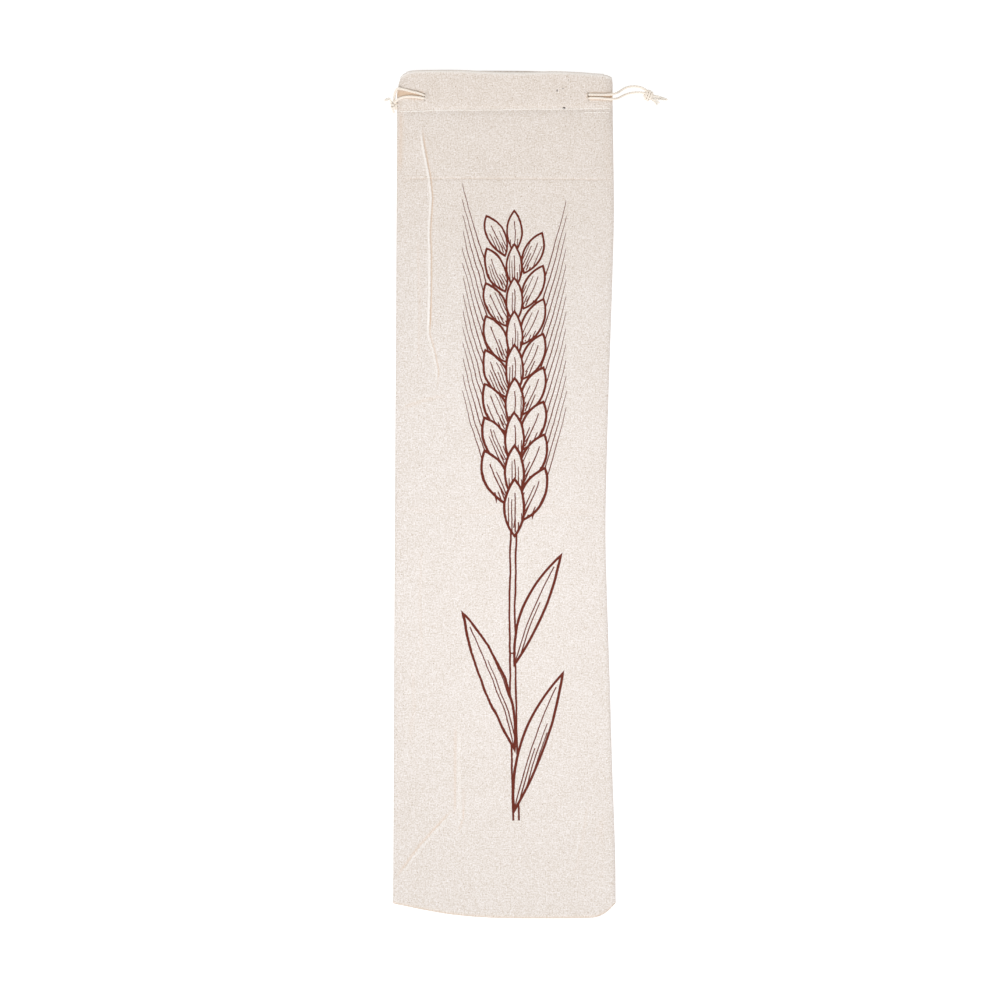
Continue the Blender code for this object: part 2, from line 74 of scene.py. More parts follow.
camera_data = bpy.data.cameras.new("Overhead camera")
camera_data.lens = LENS
camera_data.sensor_width = SENSOR
camera = add_object("Overhead camera", camera_data)
camera.location = (Vector(VIEW_MIDDLE) + Vector((0, 0, VIEW_WIDTH * LENS / SENSOR))) * MM
bpy.context.scene.camera = camera
print(f"camera {camera.location.z:.2f} m above the floor")

# %% [markdown]
# ## The shape of the bag
#
# A few short tables say how the empty bag lies: its outline, the heights of its cloth, and the line
# of stitches that closes the casing. They are the solid model's own tables, with the corners of the
# mouth a little squarer and the stitches a little more level. A smooth curve through a table's rows
# gives the value at any place, for one number or for a whole array of them, which is what makes a
# fine mesh quick to work out.

# %% Outline and heights
CLOTH = 1.0  # thickness that the solid model gives one layer
CORD = 2.0  # diameter of a drawstring in the solid model
GAP = 0.3  # between two layers that touch
CHANNEL = 3.0  # height of the casing's inside, round the cord
CASING_STEP = CHANNEL + CLOTH  # from the middle of the outer layer to that of the hem
FOLD_RADIUS = CASING_STEP / 2
LENGTH = 640.0
BASE = -LENGTH / 2

SIDES = np.array([  # y, left edge x, right edge x
    (-309.0, -84.0, 84.1),
    (-268.0, -83.7, 83.6),
    (-208.0, -83.4, 81.5),
    (-148.0, -83.2, 79.8),
    (-87.0, -82.9, 77.8),
    (-27.0, -82.6, 76.4),
    (34.0, -82.3, 77.5),
    (94.0, -81.9, 79.3),
    (154.0, -81.6, 81.3),
    (215.0, -81.3, 82.8),
    (275.0, -80.9, 82.0),
    (302.0, -80.8, 81.7),
    (309.0, -79.8, 81.8),
    (314.0, -78.4, 81.3),
])
LEFT, RIGHT = 1, 2
ENDS = np.array([  # share across from the left, bottom y, back panel's top y, front panel's top y
    (0.00, -308.7, 315.0, 315.0),
    (0.03, -309.8, 318.5, 318.5),
    (0.06, -310.8, 319.7, 319.7),
    (0.14, -313.6, 320.0, 320.0),
    (0.27, -317.2, 320.0, 319.9),
    (0.44, -319.5, 320.0, 318.6),
    (0.60, -320.0, 319.8, 318.3),
    (0.72, -320.0, 319.2, 318.9),
    (0.85, -319.8, 318.3, 318.2),
    (0.92, -318.8, 317.5, 317.4),
    (0.96, -315.0, 316.9, 316.9),
    (1.00, -308.3, 314.6, 314.6),
])
BOTTOM, BACK_TOP, FRONT_TOP = 1, 2, 3
HEIGHTS = np.array([  # y, seam, side shoulder, rounding width, crown at the middle, squareness
    (-320.0, 1.60, 1.30, 3.2, 0.0, 2.2),
    (-300.0, 1.60, 1.30, 3.2, 1.6, 2.2),
    (-262.0, 1.60, 1.30, 3.2, 4.0, 2.2),
    (-190.0, 1.60, 1.30, 3.2, 5.4, 2.3),
    (-60.0, 1.60, 1.30, 3.2, 6.0, 2.4),
    (110.0, 1.60, 1.30, 3.2, 6.4, 2.4),
    (215.0, 1.70, 1.40, 3.4, 6.8, 2.5),
    (250.0, 2.70, 2.10, 4.6, 6.6, 2.8),
    (280.0, 4.30, 3.20, 6.2, 6.1, 3.3),
    (292.0, 4.50, 3.45, 6.5, 5.9, 3.4),
    (320.0, 4.50, 3.45, 6.5, 5.9, 3.4),
])
SEAM, SHOULDER, ROUNDING, CROWN, SQUARENESS = 1, 2, 3, 4, 5
SKIRT = 0.5  # the last upright stretch of each panel, at the seam

STITCH_MIDDLE_Y, STITCH_SLOPE = 289.8, 0.0135
STITCH_DIP, STITCH_DIP_REACH = 0.7, 2.2
CHANNEL_OPENS = 4.2  # above the stitches the hem is clear of the panel
widest = SIDES[:, RIGHT].max() - SIDES[:, LEFT].min()
print(f"bag {LENGTH:.0f} mm long, {widest:.0f} mm at its widest")

# %% Reading the tables
def curve_between(share, start, slope_in, end, slope_out):
    """A place on the smooth curve between two rows or points, from the slopes at both."""
    cube, square = share**3, share**2
    return (
        start * (2 * cube - 3 * square + 1)
        + slope_in * (cube - 2 * square + share)
        + end * (3 * square - 2 * cube)
        + slope_out * (cube - square)
    )


def along(table, column, at):
    """A table's column at places between its rows, on a smooth curve through them."""
    place, value = table[:, 0], table[:, column]
    step, rise = np.diff(place), np.diff(value)
    middle = (value[2:] - value[:-2]) / (place[2:] - place[:-2])
    slope_in = np.concatenate([rise[:1] / step[:1], middle]) * step
    slope_out = np.concatenate([middle, rise[-1:] / step[-1:]]) * step
    slope_in[rise * slope_in <= 0] = 0.0
    slope_out[rise * slope_out <= 0] = 0.0
    row = np.clip(np.searchsorted(place, at, side="right") - 1, 0, len(step) - 1)
    share = np.clip((at - place[row]) / step[row], 0.0, 1.0)
    return curve_between(share, value[row], slope_in[row], value[row + 1], slope_out[row])


def eased(share):
    """0 to 1, starting and ending level."""
    share = np.clip(share, 0.0, 1.0)
    return share * share * (3 - 2 * share)


def share_across(x, y):
    """0 at the bag's left edge, 1 at its right edge."""
    left, right = along(SIDES, LEFT, y), along(SIDES, RIGHT, y)
    return (x - left) / (right - left)


def stitch_y(x):
    """Y of the line of stitches under the casing."""
    return STITCH_MIDDLE_Y + STITCH_SLOPE * x


def quarter_round(distance, width):
    """Height of a rounded edge at a distance in from it, as a share of the full height."""
    inward = 1 - np.clip(distance / width, 0.0, 1.0)
    return np.sqrt(1 - inward * inward)


def edge_rounding(x, y):
    """0 at the bag's sides and bottom, 1 inside their rounded edges."""
    width = along(HEIGHTS, ROUNDING, y)
    to_side = np.minimum(x - along(SIDES, LEFT, y), along(SIDES, RIGHT, y) - x) - CLOTH / 2
    to_bottom = y - along(ENDS, BOTTOM, share_across(x, y)) - CLOTH / 2
    return quarter_round(to_side, width) * quarter_round(to_bottom, width)


print(f"half way up it is {along(SIDES, RIGHT, 0.0) - along(SIDES, LEFT, 0.0):.0f} mm wide")

# %% [markdown]
# ## Creases
#
# An empty bag keeps the folds it was packed in. Each crease is a row of a table: how high it stands,
# how far it reaches to its left and to its right, how much painted shade and highlight lie beside it,
# and the path that it follows. A short reach on one side makes the sharp flank of a pinched ridge; a
# negative height makes a pressed trough. They could be sculpted, but a table keeps each one easy to
# find again and to move. Painted shade turns the canvas a warm brown on a ridge's right and a painted
# highlight makes it pale on its left, or the other way if negative; a trough gets painted shade along
# it.

# %% Crease table
CREASES = (  # height, reach to the left, reach to the right, painted shade and highlight, path upwards
    (0.95, 1.15, 0.60, 0.90, (
        (-57.1, 121.1), (-56.1, 151.3), (-55.9, 180.8), (-56.7, 196.6), (-55.7, 211.7), (-54.9, 223.8),
        (-56.5, 238.9), (-60.6, 260.4), (-63.2, 278.0),
    )),
    (0.45, 1.00, 0.60, 0.55, (
        (-51.2, 80.0), (-50.4, 93.0), (-53.3, 108.3), (-57.1, 121.1), (-56.1, 151.3),
    )),
    (0.42, 1.3, 1.2, -0.45, (
        (-82.0, -292.0), (-63.0, -266.0), (-51.0, -252.5), (-42.4, -243.4), (-36.5, -237.5),
    )),
    (0.32, 1.7, 2.2, -0.30, ((-35.4, -246.0), (-35.0, -207.0), (-34.8, -170.0))),
    (0.42, 1.0, 0.6, 0.40, (
        (-37.8, -258.0), (-34.6, -251.0), (-31.9, -243.4), (-31.3, -235.0), (-31.4, -216.0),
    )),
    (-0.50, 0.8, 0.8, 0.22, ((-80.5, 238.1), (-20.0, 238.0), (40.0, 237.6), (82.0, 237.3))),
    (0.32, 1.8, 2.4, 0.20, ((-80.5, 66.5), (-62.0, 73.0), (-40.0, 78.1))),
    (0.25, 1.6, 2.0, 0.12, ((-78.7, 62.0), (-73.0, 69.5), (-66.0, 75.5))),
    (0.30, 2.0, 1.6, 0.15, ((-66.5, 96.0), (-65.5, 140.0), (-66.8, 196.0))),
    (0.25, 2.5, 2.2, 0.10, ((-60.0, -34.0), (-61.5, -80.0), (-59.5, -128.0))),
    (-0.20, 1.8, 1.8, 0.08, ((-81.0, -12.0), (-30.0, -13.5), (30.0, -12.5), (75.5, -14.0))),
    (0.30, 2.0, 1.8, 0.12, ((77.0, 60.0), (68.0, 66.0), (60.0, 68.5))),
    (0.25, 2.4, 2.0, 0.10, ((50.0, -292.0), (57.0, -262.0), (62.0, -226.0))),
    (0.22, 2.2, 2.2, 0.10, ((72.0, -300.0), (70.5, -268.0), (73.0, -236.0))),
    (0.25, 2.0, 2.4, 0.10, ((-74.0, -190.0), (-70.0, -160.0), (-71.5, -126.0))),
    (-0.65, 2.0, 2.3, 0.34, ((-78.8, 238.0), (-78.0, 262.0), (-77.4, 295.0))),
    (-0.35, 2.6, 2.4, 0.06, ((79.4, 226.0), (77.6, 252.0), (77.2, 285.0))),
)
CREASE_FADE = 14.0  # each end of a crease fades out over this length


def nearest_on(path, x, y):
    """Distance to a path, how far along it that is, the path's length, and 1 to its right or -1."""
    best, at = np.full(np.shape(x), np.inf), np.zeros(np.shape(x))
    side, passed = np.ones(np.shape(x)), 0.0
    for (ax, ay), (bx, by) in zip(path, path[1:]):
        length = math.hypot(bx - ax, by - ay)
        share = np.clip(((x - ax) * (bx - ax) + (y - ay) * (by - ay)) / length**2, 0.0, 1.0)
        off_x, off_y = x - ax - share * (bx - ax), y - ay - share * (by - ay)
        distance = np.hypot(off_x, off_y)
        closer = distance < best
        best = np.where(closer, distance, best)
        at = np.where(closer, passed + share * length, at)
        side = np.where(closer, np.sign(off_x * (by - ay) - off_y * (bx - ax)), side)
        passed += length
    return best, at, passed, side


def bell(distance, reach):
    """1 at no distance, and soon nothing beyond the reach."""
    return np.exp(-((distance / reach) ** 2))


def fading_ends(at, length):
    """1 along a crease, down to 0 at both of its ends."""
    return eased(at / CREASE_FADE) * eased((length - at) / CREASE_FADE)


def crease_height(x, y):
    """What all creases and troughs together add to the cloth's height."""
    total = np.zeros(np.shape(x))
    for height, reach_left, reach_right, _, path in CREASES:
        distance, at, length, side = nearest_on(path, x, y)
        reach = np.where(side > 0, reach_right, reach_left)
        total = total + height * fading_ends(at, length) * bell(distance, reach)
    return total


print(len(CREASES), "creases, the highest", max(row[0] for row in CREASES), "mm")

# %% Painted shade and highlight beside creases
PAINTED_BANDS_WIDEN = 0.35  # with the crease's reach
SHADE_AT, SHADE_ASIDE, SHADE_WIDTH = 0.7, 0.4, 0.5  # share of the reach, and millimetres
HIGHLIGHT_AT, HIGHLIGHT_WIDTH, HIGHLIGHT_SHARE = 0.35, 0.3, 0.95
TROUGH_SHADE_WIDTH = 0.9  # share of a trough's reach


def crease_wear(x, y):
    """Painted shade and highlight beside the creases: up to 1 where shaded a warm brown, down to -1
    where lit pale.
    """
    total = np.zeros(np.shape(x))
    for height, reach_left, reach_right, painted_light, path in CREASES:
        distance, at, length, side = nearest_on(path, x, y)
        fade = fading_ends(at, length)
        if height > 0:
            across = distance * side * math.copysign(1.0, painted_light)
            brown, pale = (reach_right, reach_left) if painted_light > 0 else (reach_left, reach_right)
            shaded = bell(across - brown * SHADE_AT - SHADE_ASIDE, SHADE_WIDTH + PAINTED_BANDS_WIDEN * brown)
            highlighted = bell(across + pale * HIGHLIGHT_AT, HIGHLIGHT_WIDTH + PAINTED_BANDS_WIDEN * pale)
            total = total + abs(painted_light) * fade * (shaded - HIGHLIGHT_SHARE * highlighted)
        else:
            total = total + painted_light * fade * bell(distance, TROUGH_SHADE_WIDTH * reach_left)
    return np.clip(total, -1.0, 1.0)


print("wear beside", sum(row[0] > 0 for row in CREASES), "ridges and along the troughs")

# %% [markdown]
# ## Height of each panel
#
# The front panel swells a little over the air in the bag, and dips at the casing's stitches. The
# back panel lies flat, turns up at its edge, and is pulled up a little by its own stitches. The front
# also gets what no crease table holds: a slight wave where stitches pucker the cloth, and the faint
# unevenness of cloth that has never been pressed. Both are made with smooth functions of the place,
# so they stay the same at each run.

# %% Panel heights
PUCKER, PUCKER_REACH, PUCKER_LENGTH = 0.16, 4.5, 7.5
PUCKER_DRIFT, PUCKER_DRIFT_LENGTH = 1.3, 17.0  # keeps the puckers from standing evenly
UNEVEN, UNEVEN_SIZE = 0.28, (26.0, 44.0)
UNEVEN_SLICE = 3.7  # which slice of the noise the lumps come from
BACK_GROOVE, BACK_GROOVE_REACH = 0.5, 1.4


def front_height(x, y):
    """Middle of the front panel's outer layer, without its creases."""
    seam = along(HEIGHTS, SEAM, y) + GAP / 2 + SKIRT
    off_middle = np.minimum(1.0, np.abs(2 * share_across(x, y) - 1))
    crown = 1 - off_middle ** along(HEIGHTS, SQUARENESS, y)
    dip = STITCH_DIP * bell(y - stitch_y(x), STITCH_DIP_REACH)
    swell = along(HEIGHTS, CROWN, y) * crown + along(HEIGHTS, SHOULDER, y)
    return seam + edge_rounding(x, y) * (swell - dip)


def back_height(x, y):
    """Middle of the back panel's outer layer."""
    seam = along(HEIGHTS, SEAM, y) - GAP / 2 - SKIRT
    return CLOTH / 2 + (seam - CLOTH / 2) * (1 - edge_rounding(x, y))


def back_groove(x, y):
    """How far the casing's stitches pull the back panel up off the floor."""
    return BACK_GROOVE * edge_rounding(x, y) * bell(y - stitch_y(x), BACK_GROOVE_REACH)


def unevenness(x, y):
    """Faint lumps, the same ones at each run."""
    size_x, size_y = UNEVEN_SIZE
    places = zip(x.flat, y.flat)
    lumps = [noise.noise(Vector((a / size_x, b / size_y, UNEVEN_SLICE))) for a, b in places]
    return np.reshape(lumps, x.shape) * UNEVEN


def relief(x, y):
    """What creases, puckers and unevenness add to the front panel's height."""
    drift = PUCKER_DRIFT * np.sin(x / PUCKER_DRIFT_LENGTH)
    waves = np.sin(2 * math.pi * x / PUCKER_LENGTH + drift)
    pucker = PUCKER * waves * bell(y - stitch_y(x), PUCKER_REACH)
    return edge_rounding(x, y) * (crease_height(x, y) + pucker + unevenness(x, y))


print(f"highest cloth {front_height(0.0, 250.0) + CLOTH / 2:.1f} mm above the floor")

# %% [markdown]
# ## Routes of the drawstrings
#
# Each cord is one long line: from its knot over the bag's edge, down through its slit, round inside
# the casing past both side seams, out of the same slit and back to the knot. Its points are listed,
# and a few helpers set them on the cloth or inside the casing, square to the cloth's slope.

# %% Slits
SLIT_Y = {"right": 299.9, "left": 299.5}
SLIT_X = {"right": 62.9, "left": -59.4}
STRAND_OFF = {"right": 1.3, "left": 1.1}  # from each slit's middle to either strand in it
UPPER_Y = {side: middle + STRAND_OFF[side] for side, middle in SLIT_Y.items()}
LOWER_Y = {side: middle - STRAND_OFF[side] for side, middle in SLIT_Y.items()}
SLIT_PASS = (  # outwards from the slit's middle, share of the way up from inside
    (6.0, 1.0),
    (4.2, 1.0),
    (2.2, 0.88),
    (0.0, 0.5),
    (-2.2, 0.12),
    (-4.2, 0.0),
    (-6.0, 0.0),
)
TURN_X = {"right": 73.4, "left": -71.6}  # where a cord turns back inside each side seam
TURN_STEPS = 8  # of the cord's half turn there
LIES_CLEAR = 0.15  # between a cord and the cloth it lies on
print(f"the strands lie {2 * STRAND_OFF['right']:.1f} mm apart in the right slit")

# %% Places beside the cloth
def slopes(height, x, y, step):
    """How steeply a surface rises along X and along Y, measured over a short step."""
    slope_x = (height(x + step, y) - height(x - step, y)) / (2 * step)
    slope_y = (height(x, y + step) - height(x, y - step)) / (2 * step)
    return slope_x, slope_y


def raised(height, x, y, by):
    """A point at a distance off a panel's middle surface, square to its slope there."""
    slope_x, slope_y = slopes(height, x, y, 0.2)
    return Vector((x, y, height(x, y))) + Vector((-slope_x, -slope_y, 1.0)).normalized() * by


def inside_front(x, y):
    """Where a cord lies in the casing, under the front panel."""
    return raised(front_height, x, y, -(CLOTH + CHANNEL) / 2)


def inside_back(x, y):
    """Where a cord lies in the casing, over the back panel."""
    return raised(back_height, x, y, (CLOTH + CHANNEL) / 2)


def on_front(x, y):
    """Where a cord lies on top of the bag."""
    return raised(front_height, x, y, (CLOTH + CORD) / 2 + LIES_CLEAR)


print(f"a cord on the bag's middle lies {on_front(0.0, 0.0).z:.1f} mm above the floor")

# %% Turns, slits and free strands
def round_side(side, front_y, back_y):
    """A half turn inside the side seam, from the front casing to the back one."""
    x = TURN_X[side]
    start, end = inside_front(x, front_y), inside_back(x, back_y)
    middle, half = (start + end) / 2, (start - end) / 2
    outward = math.copysign(half.length, x)
    turns = [math.pi * step / TURN_STEPS for step in range(TURN_STEPS + 1)]
    return [middle + half * math.cos(t) + Vector((outward * math.sin(t), 0, 0)) for t in turns]


def through_slit(side, strand_y, slope=0.0):
    """A strand from the top of the front panel down through the slit, into the casing."""
    outward = math.copysign(1.0, SLIT_X[side])
    points = []
    for step, up in SLIT_PASS:
        x, y = SLIT_X[side] + outward * step, strand_y + slope * max(step, 0.0)
        points.append(inside_front(x, y).lerp(on_front(x, y), up))
    return points


def placed(where, *places):
    """Points that a helper above sets, each from its x and y."""
    return [where(x, y) for x, y in places]


def free(*points):
    """Points in the open, beyond the cloth."""
    return [Vector(point) for point in points]


print("each cord turns round in the casing in", TURN_STEPS, "steps")

# %% Both routes
right_route = [
    *free((108.0, 304.3, 2.9), (105.6, 306.1, 2.5), (102.4, 307.5, 1.7), (98.8, 308.1, 1.4)),
    *free((95.0, 307.9, 1.7), (91.6, 306.9, 2.7), (88.4, 305.0, 4.8), (85.4, 302.9, 8.0)),
    *free((82.0, 301.7, 10.6)),
    on_front(76.5, 301.3),
    *through_slit("right", UPPER_Y["right"]),
    *placed(inside_front, (53.7, 301.7), (50.7, 303.2), (49.5, 306.0), (50.7, 308.6)),
    *placed(inside_front, (53.7, 309.9), (60.5, 310.2), (68.0, 309.8)),
    *round_side("right", 309.2, 304.5),
    *placed(inside_back, (68.0, 304.5), (30.0, 304.3), (-20.0, 304.0), (-66.0, 303.5)),
    *reversed(round_side("left", 308.6, 303.5)),
    *placed(inside_front, (-68.0, 309.4), (-60.0, 310.9), (-53.0, 312.0), (-46.0, 312.2)),
    *placed(inside_front, (-30.0, 310.6), (0.0, 306.0), (26.0, 301.6), (44.0, 299.1)),
    *reversed(through_slit("right", LOWER_Y["right"])),
    *placed(on_front, (73.0, 298.5), (77.0, 298.1)),
    *free((82.2, 298.0, 10.4), (85.6, 298.8, 7.8), (88.8, 300.5, 4.4), (92.6, 302.2, 2.2)),
    *free((97.4, 303.3, 1.4), (101.6, 303.5, 1.7), (105.0, 303.1, 2.4), (108.0, 302.2, 2.9)),
]
left_route = [
    *free((-83.3, 294.6, 6.6), (-83.2, 297.2, 6.2), (-82.9, 300.0, 6.0), (-82.4, 302.7, 6.8)),
    *free((-81.4, 304.9, 8.6), (-79.4, 306.0, 10.6)),
    *placed(on_front, (-76.4, 305.5), (-72.8, 304.5), (-69.2, 303.4)),
    *through_slit("left", UPPER_Y["left"], 0.32),
    *placed(inside_front, (-50.4, 301.1), (-47.2, 302.6), (-46.0, 305.0), (-47.2, 307.4)),
    *placed(inside_front, (-50.4, 308.5), (-58.0, 307.7), (-67.0, 305.6)),
    *round_side("left", 304.6, 299.5),
    *placed(inside_back, (-66.0, 299.5), (-20.0, 300.0), (30.0, 300.6), (68.0, 301.0)),
    *reversed(round_side("right", 296.4, 301.0)),
    *placed(inside_front, (70.0, 296.1), (62.0, 295.6), (46.0, 295.6), (0.0, 296.6)),
    *placed(inside_front, (-36.0, 297.8), (-46.8, 298.3)),
    *reversed(through_slit("left", LOWER_Y["left"], 0.14)),
    *placed(on_front, (-69.8, 299.7), (-73.6, 299.6), (-77.2, 298.7)),
    *free((-81.5, 296.6, 8.6), (-82.9, 294.8, 6.8)),
]
print("routes of", len(right_route), "and", len(left_route), "points")

# %% Smooth lines
def smooth_line(points, samples=8):
    """A smooth curve through a route's own points, as an array of places."""
    ends = [points[0] * 2 - points[1], *points, points[-1] * 2 - points[-2]]
    line = []
    for before, start, end, beyond in zip(ends, ends[1:], ends[2:], ends[3:]):
        reach = (end - start).length
        slope_in = ((end - before) / (reach + (start - before).length)) * reach
        slope_out = ((beyond - start) / ((beyond - end).length + reach)) * reach
        for step in range(samples):
            line.append(curve_between(step / samples, start, slope_in, end, slope_out))
    return np.array([*line, points[-1]])


def step_lengths(line):
    """Distances from each point of a line to the next."""
    return np.linalg.norm(np.diff(line, axis=0), axis=1)


def line_length(line):
    return float(step_lengths(line).sum())


def passed_at(line):
    """How much of a line lies behind each of its points."""
    return np.concatenate([[0.0], np.cumsum(step_lengths(line))])


def spaced(line, step):
    """The line again, with its points evenly spaced about a step apart."""
    passed = passed_at(line)
    at = np.linspace(0.0, passed[-1], max(3, round(passed[-1] / step) + 1))
    return np.stack([np.interp(at, passed, line[:, axis]) for axis in range(3)], axis=1)


cord_lines = {"right": smooth_line(right_route), "left": smooth_line(left_route)}
for side, line in cord_lines.items():
    print(f"{side} drawstring {line_length(line):.0f} mm long")

# %% [markdown]
# ## Twisted cord
#
# Cotton cord is three plies twisted round each other, and each ply shows as a slanting band. A round
# tube with a striped bump would do from far off, but the outline of a real cord is scalloped, so the
# plies are modelled: each is a tube swept along a helix that winds round the cord's own line. A frame
# carried along the line without spinning keeps the twist even through every bend.

# %% Plies round a line
PLIES, PLY_RADIUS, PLY_ORBIT, TWIST_PITCH = 3, 0.50, 0.545, 6.6
CORD_STEP = 0.62


def unit(vectors):
    """The same directions, each of length 1."""
    return vectors / np.linalg.norm(vectors, axis=-1, keepdims=True)


def frames_along(line):
    """Directions ahead, to the side and upwards at each point, carried along without spinning."""
    ahead = unit(np.gradient(line, axis=0))
    start = np.cross(ahead[0], (0.0, 0.0, 1.0))
    if np.linalg.norm(start) < 0.1:
        start = np.cross(ahead[0], (0.0, 1.0, 0.0))
    across = [start]
    for direction in ahead[1:]:
        across.append(across[-1] - direction * np.dot(across[-1], direction))
        across[-1] = across[-1] / np.linalg.norm(across[-1])
    across[0] = across[0] / np.linalg.norm(across[0])
    across = np.array(across)
    return ahead, across, np.cross(across, ahead)


def twisted_plies(line, step=CORD_STEP, phase=0.0):
    """The helix of each ply round a cord's line."""
    fine = spaced(line, step)
    _, across, upward = frames_along(fine)
    length = line_length(fine)
    winding = np.linspace(0.0, 2 * math.pi * length / TWIST_PITCH, len(fine)) + phase
    plies = []
    for ply in range(PLIES):
        turn = (winding + 2 * math.pi * ply / PLIES)[:, None]
        plies.append(fine + PLY_ORBIT * (np.cos(turn) * across + np.sin(turn) * upward))
    return plies


print(f"cord of {PLIES} plies, {2 * (PLY_RADIUS + PLY_ORBIT):.1f} mm across")

# %% Sweeping tubes
PLY_SIDES, KNOT_PLY_SIDES, FIBRE_SIDES = 8, 7, 4


class Tubes:
    """Collects tubes into one mesh, with a UV map that runs round each tube and along it."""

    def __init__(self):
        self.points, self.faces, self.places = [], [], []

    def add(self, line, radius, sides):
        """A closed tube along a line; radius is one number, or one for each point."""
        radii = np.broadcast_to(radius, len(line))
        _, across, upward = frames_along(line)
        first = len(self.points)
        for place, r, a, u, at in zip(line, radii, across, upward, passed_at(line)):
            for side in range(sides):
                turn = 2 * math.pi * side / sides
                offset = a * (r * math.cos(turn)) + u * (r * math.sin(turn))
                self.points.append(tuple((place + offset) * MM))
                self.places.append((2 * math.pi * r * side / sides * MM, at * MM))
        for ring in range(len(line) - 1):
            low = first + ring * sides
            for side in range(sides):
                after = (side + 1) % sides
                self.faces.append((low + side, low + after, low + sides + after, low + sides + side))
        last = first + (len(line) - 1) * sides
        self.faces.append(tuple(reversed(range(first, first + sides))))
        self.faces.append(tuple(range(last, last + sides)))

    def finish(self, name, material):
        return finish_piece(name, self.points, self.faces, self.places, material)


print("tubes of", PLY_SIDES, "sides for a cord and", FIBRE_SIDES, "for a fibre")

# %% Finishing a piece
FLAT_PATTERN = "Flat cloth"  # the UV map, which holds places on the flat piece in metres


def finish_piece(name, points, faces, places, material, upright=None):
    """A smooth mesh object with a UV map. Its faces look outwards, or its upright face up or down."""
    data = bpy.data.meshes.new(name)
    data.from_pydata(points, [], faces)
    corners = np.zeros(len(data.loops), np.int32)
    data.loops.foreach_get("vertex_index", corners)
    layer = data.uv_layers.new(name=FLAT_PATTERN)
    layer.data.foreach_set("uv", np.asarray(places, np.float32)[corners].ravel())
    mesh = bmesh.new()
    mesh.from_mesh(data)
    bmesh.ops.recalc_face_normals(mesh, faces=mesh.faces)
    mesh.faces.ensure_lookup_table()
    if upright:
        face, up = upright
        if mesh.faces[face].normal.z * up < 0:
            bmesh.ops.reverse_faces(mesh, faces=mesh.faces)
    mesh.to_mesh(data)
    mesh.free()
    data.shade_smooth()
    data.materials.append(material)
    return add_object(name, data)


print("pieces carry a UV map called", FLAT_PATTERN)

# %% [markdown]
# ## Writing shaders as sums
#
# A material here is worked out from the place on the cloth, and that is a lot of Math nodes. To keep
# it readable, one small class wraps a node's output and turns +, -, *, / and comparisons into nodes,
# so a pattern is written as an ordinary sum. Any other node comes from one method that takes its
# type, its settings and what goes into its sockets.

# %% Numbers that make nodes
def add_node(tree, kind, settings=None, values=None):
    """Any node of a tree: its settings first, then the values or links of its sockets."""
    made = tree.nodes.new(kind)
    for name, value in (settings or {}).items():
        setattr(made, name, value)
    for socket, value in (values or {}).items():
        if isinstance(value, bpy.types.NodeSocket):
            tree.links.new(value, made.inputs[socket])
        else:
            made.inputs[socket].default_value = value
    return made


class Number:
    """A node's output; using it in a Python expression adds Math nodes."""

    def __init__(self, shader, socket):
        self.shader, self.socket = shader, socket

    def math(self, operation, *others, clamp=False):
        settings = {"operation": operation, "use_clamp": clamp}
        return self.shader.node("ShaderNodeMath", settings, dict(enumerate((self, *others))))

    def __add__(self, other):
        return self.math("ADD", other)

    __radd__ = __add__

    def __sub__(self, other):
        return self.math("SUBTRACT", other)

    def __rsub__(self, other):
        return self.shader.number(other).math("SUBTRACT", self)

    def __mul__(self, other):
        return self.math("MULTIPLY", other)

    __rmul__ = __mul__

    def __truediv__(self, other):
        return self.math("DIVIDE", other)

    def __rtruediv__(self, other):
        return self.shader.number(other).math("DIVIDE", self)

    def __pow__(self, other):
        return self.math("POWER", other)

    def __neg__(self):
        return self.math("MULTIPLY", -1.0)

    def __abs__(self):
        return self.math("ABSOLUTE")

    def __gt__(self, other):
        return self.math("GREATER_THAN", other)

    def __lt__(self, other):
        return self.math("LESS_THAN", other)

    def floor(self):
        return self.math("FLOOR")

    def fraction(self):
        return self.math("FRACT")

    def root(self):
        return self.math("SQRT")

    def sine(self):
        return self.math("SINE")

    def most(self, other):
        return self.math("MAXIMUM", other)

    def ramp(self, low, high):
        """0 at low, 1 at high, straight between and held beyond."""
        return (self - low).math("MULTIPLY", 1.0 / (high - low), clamp=True)


print("numbers ready: sums, products and comparisons make Math nodes")

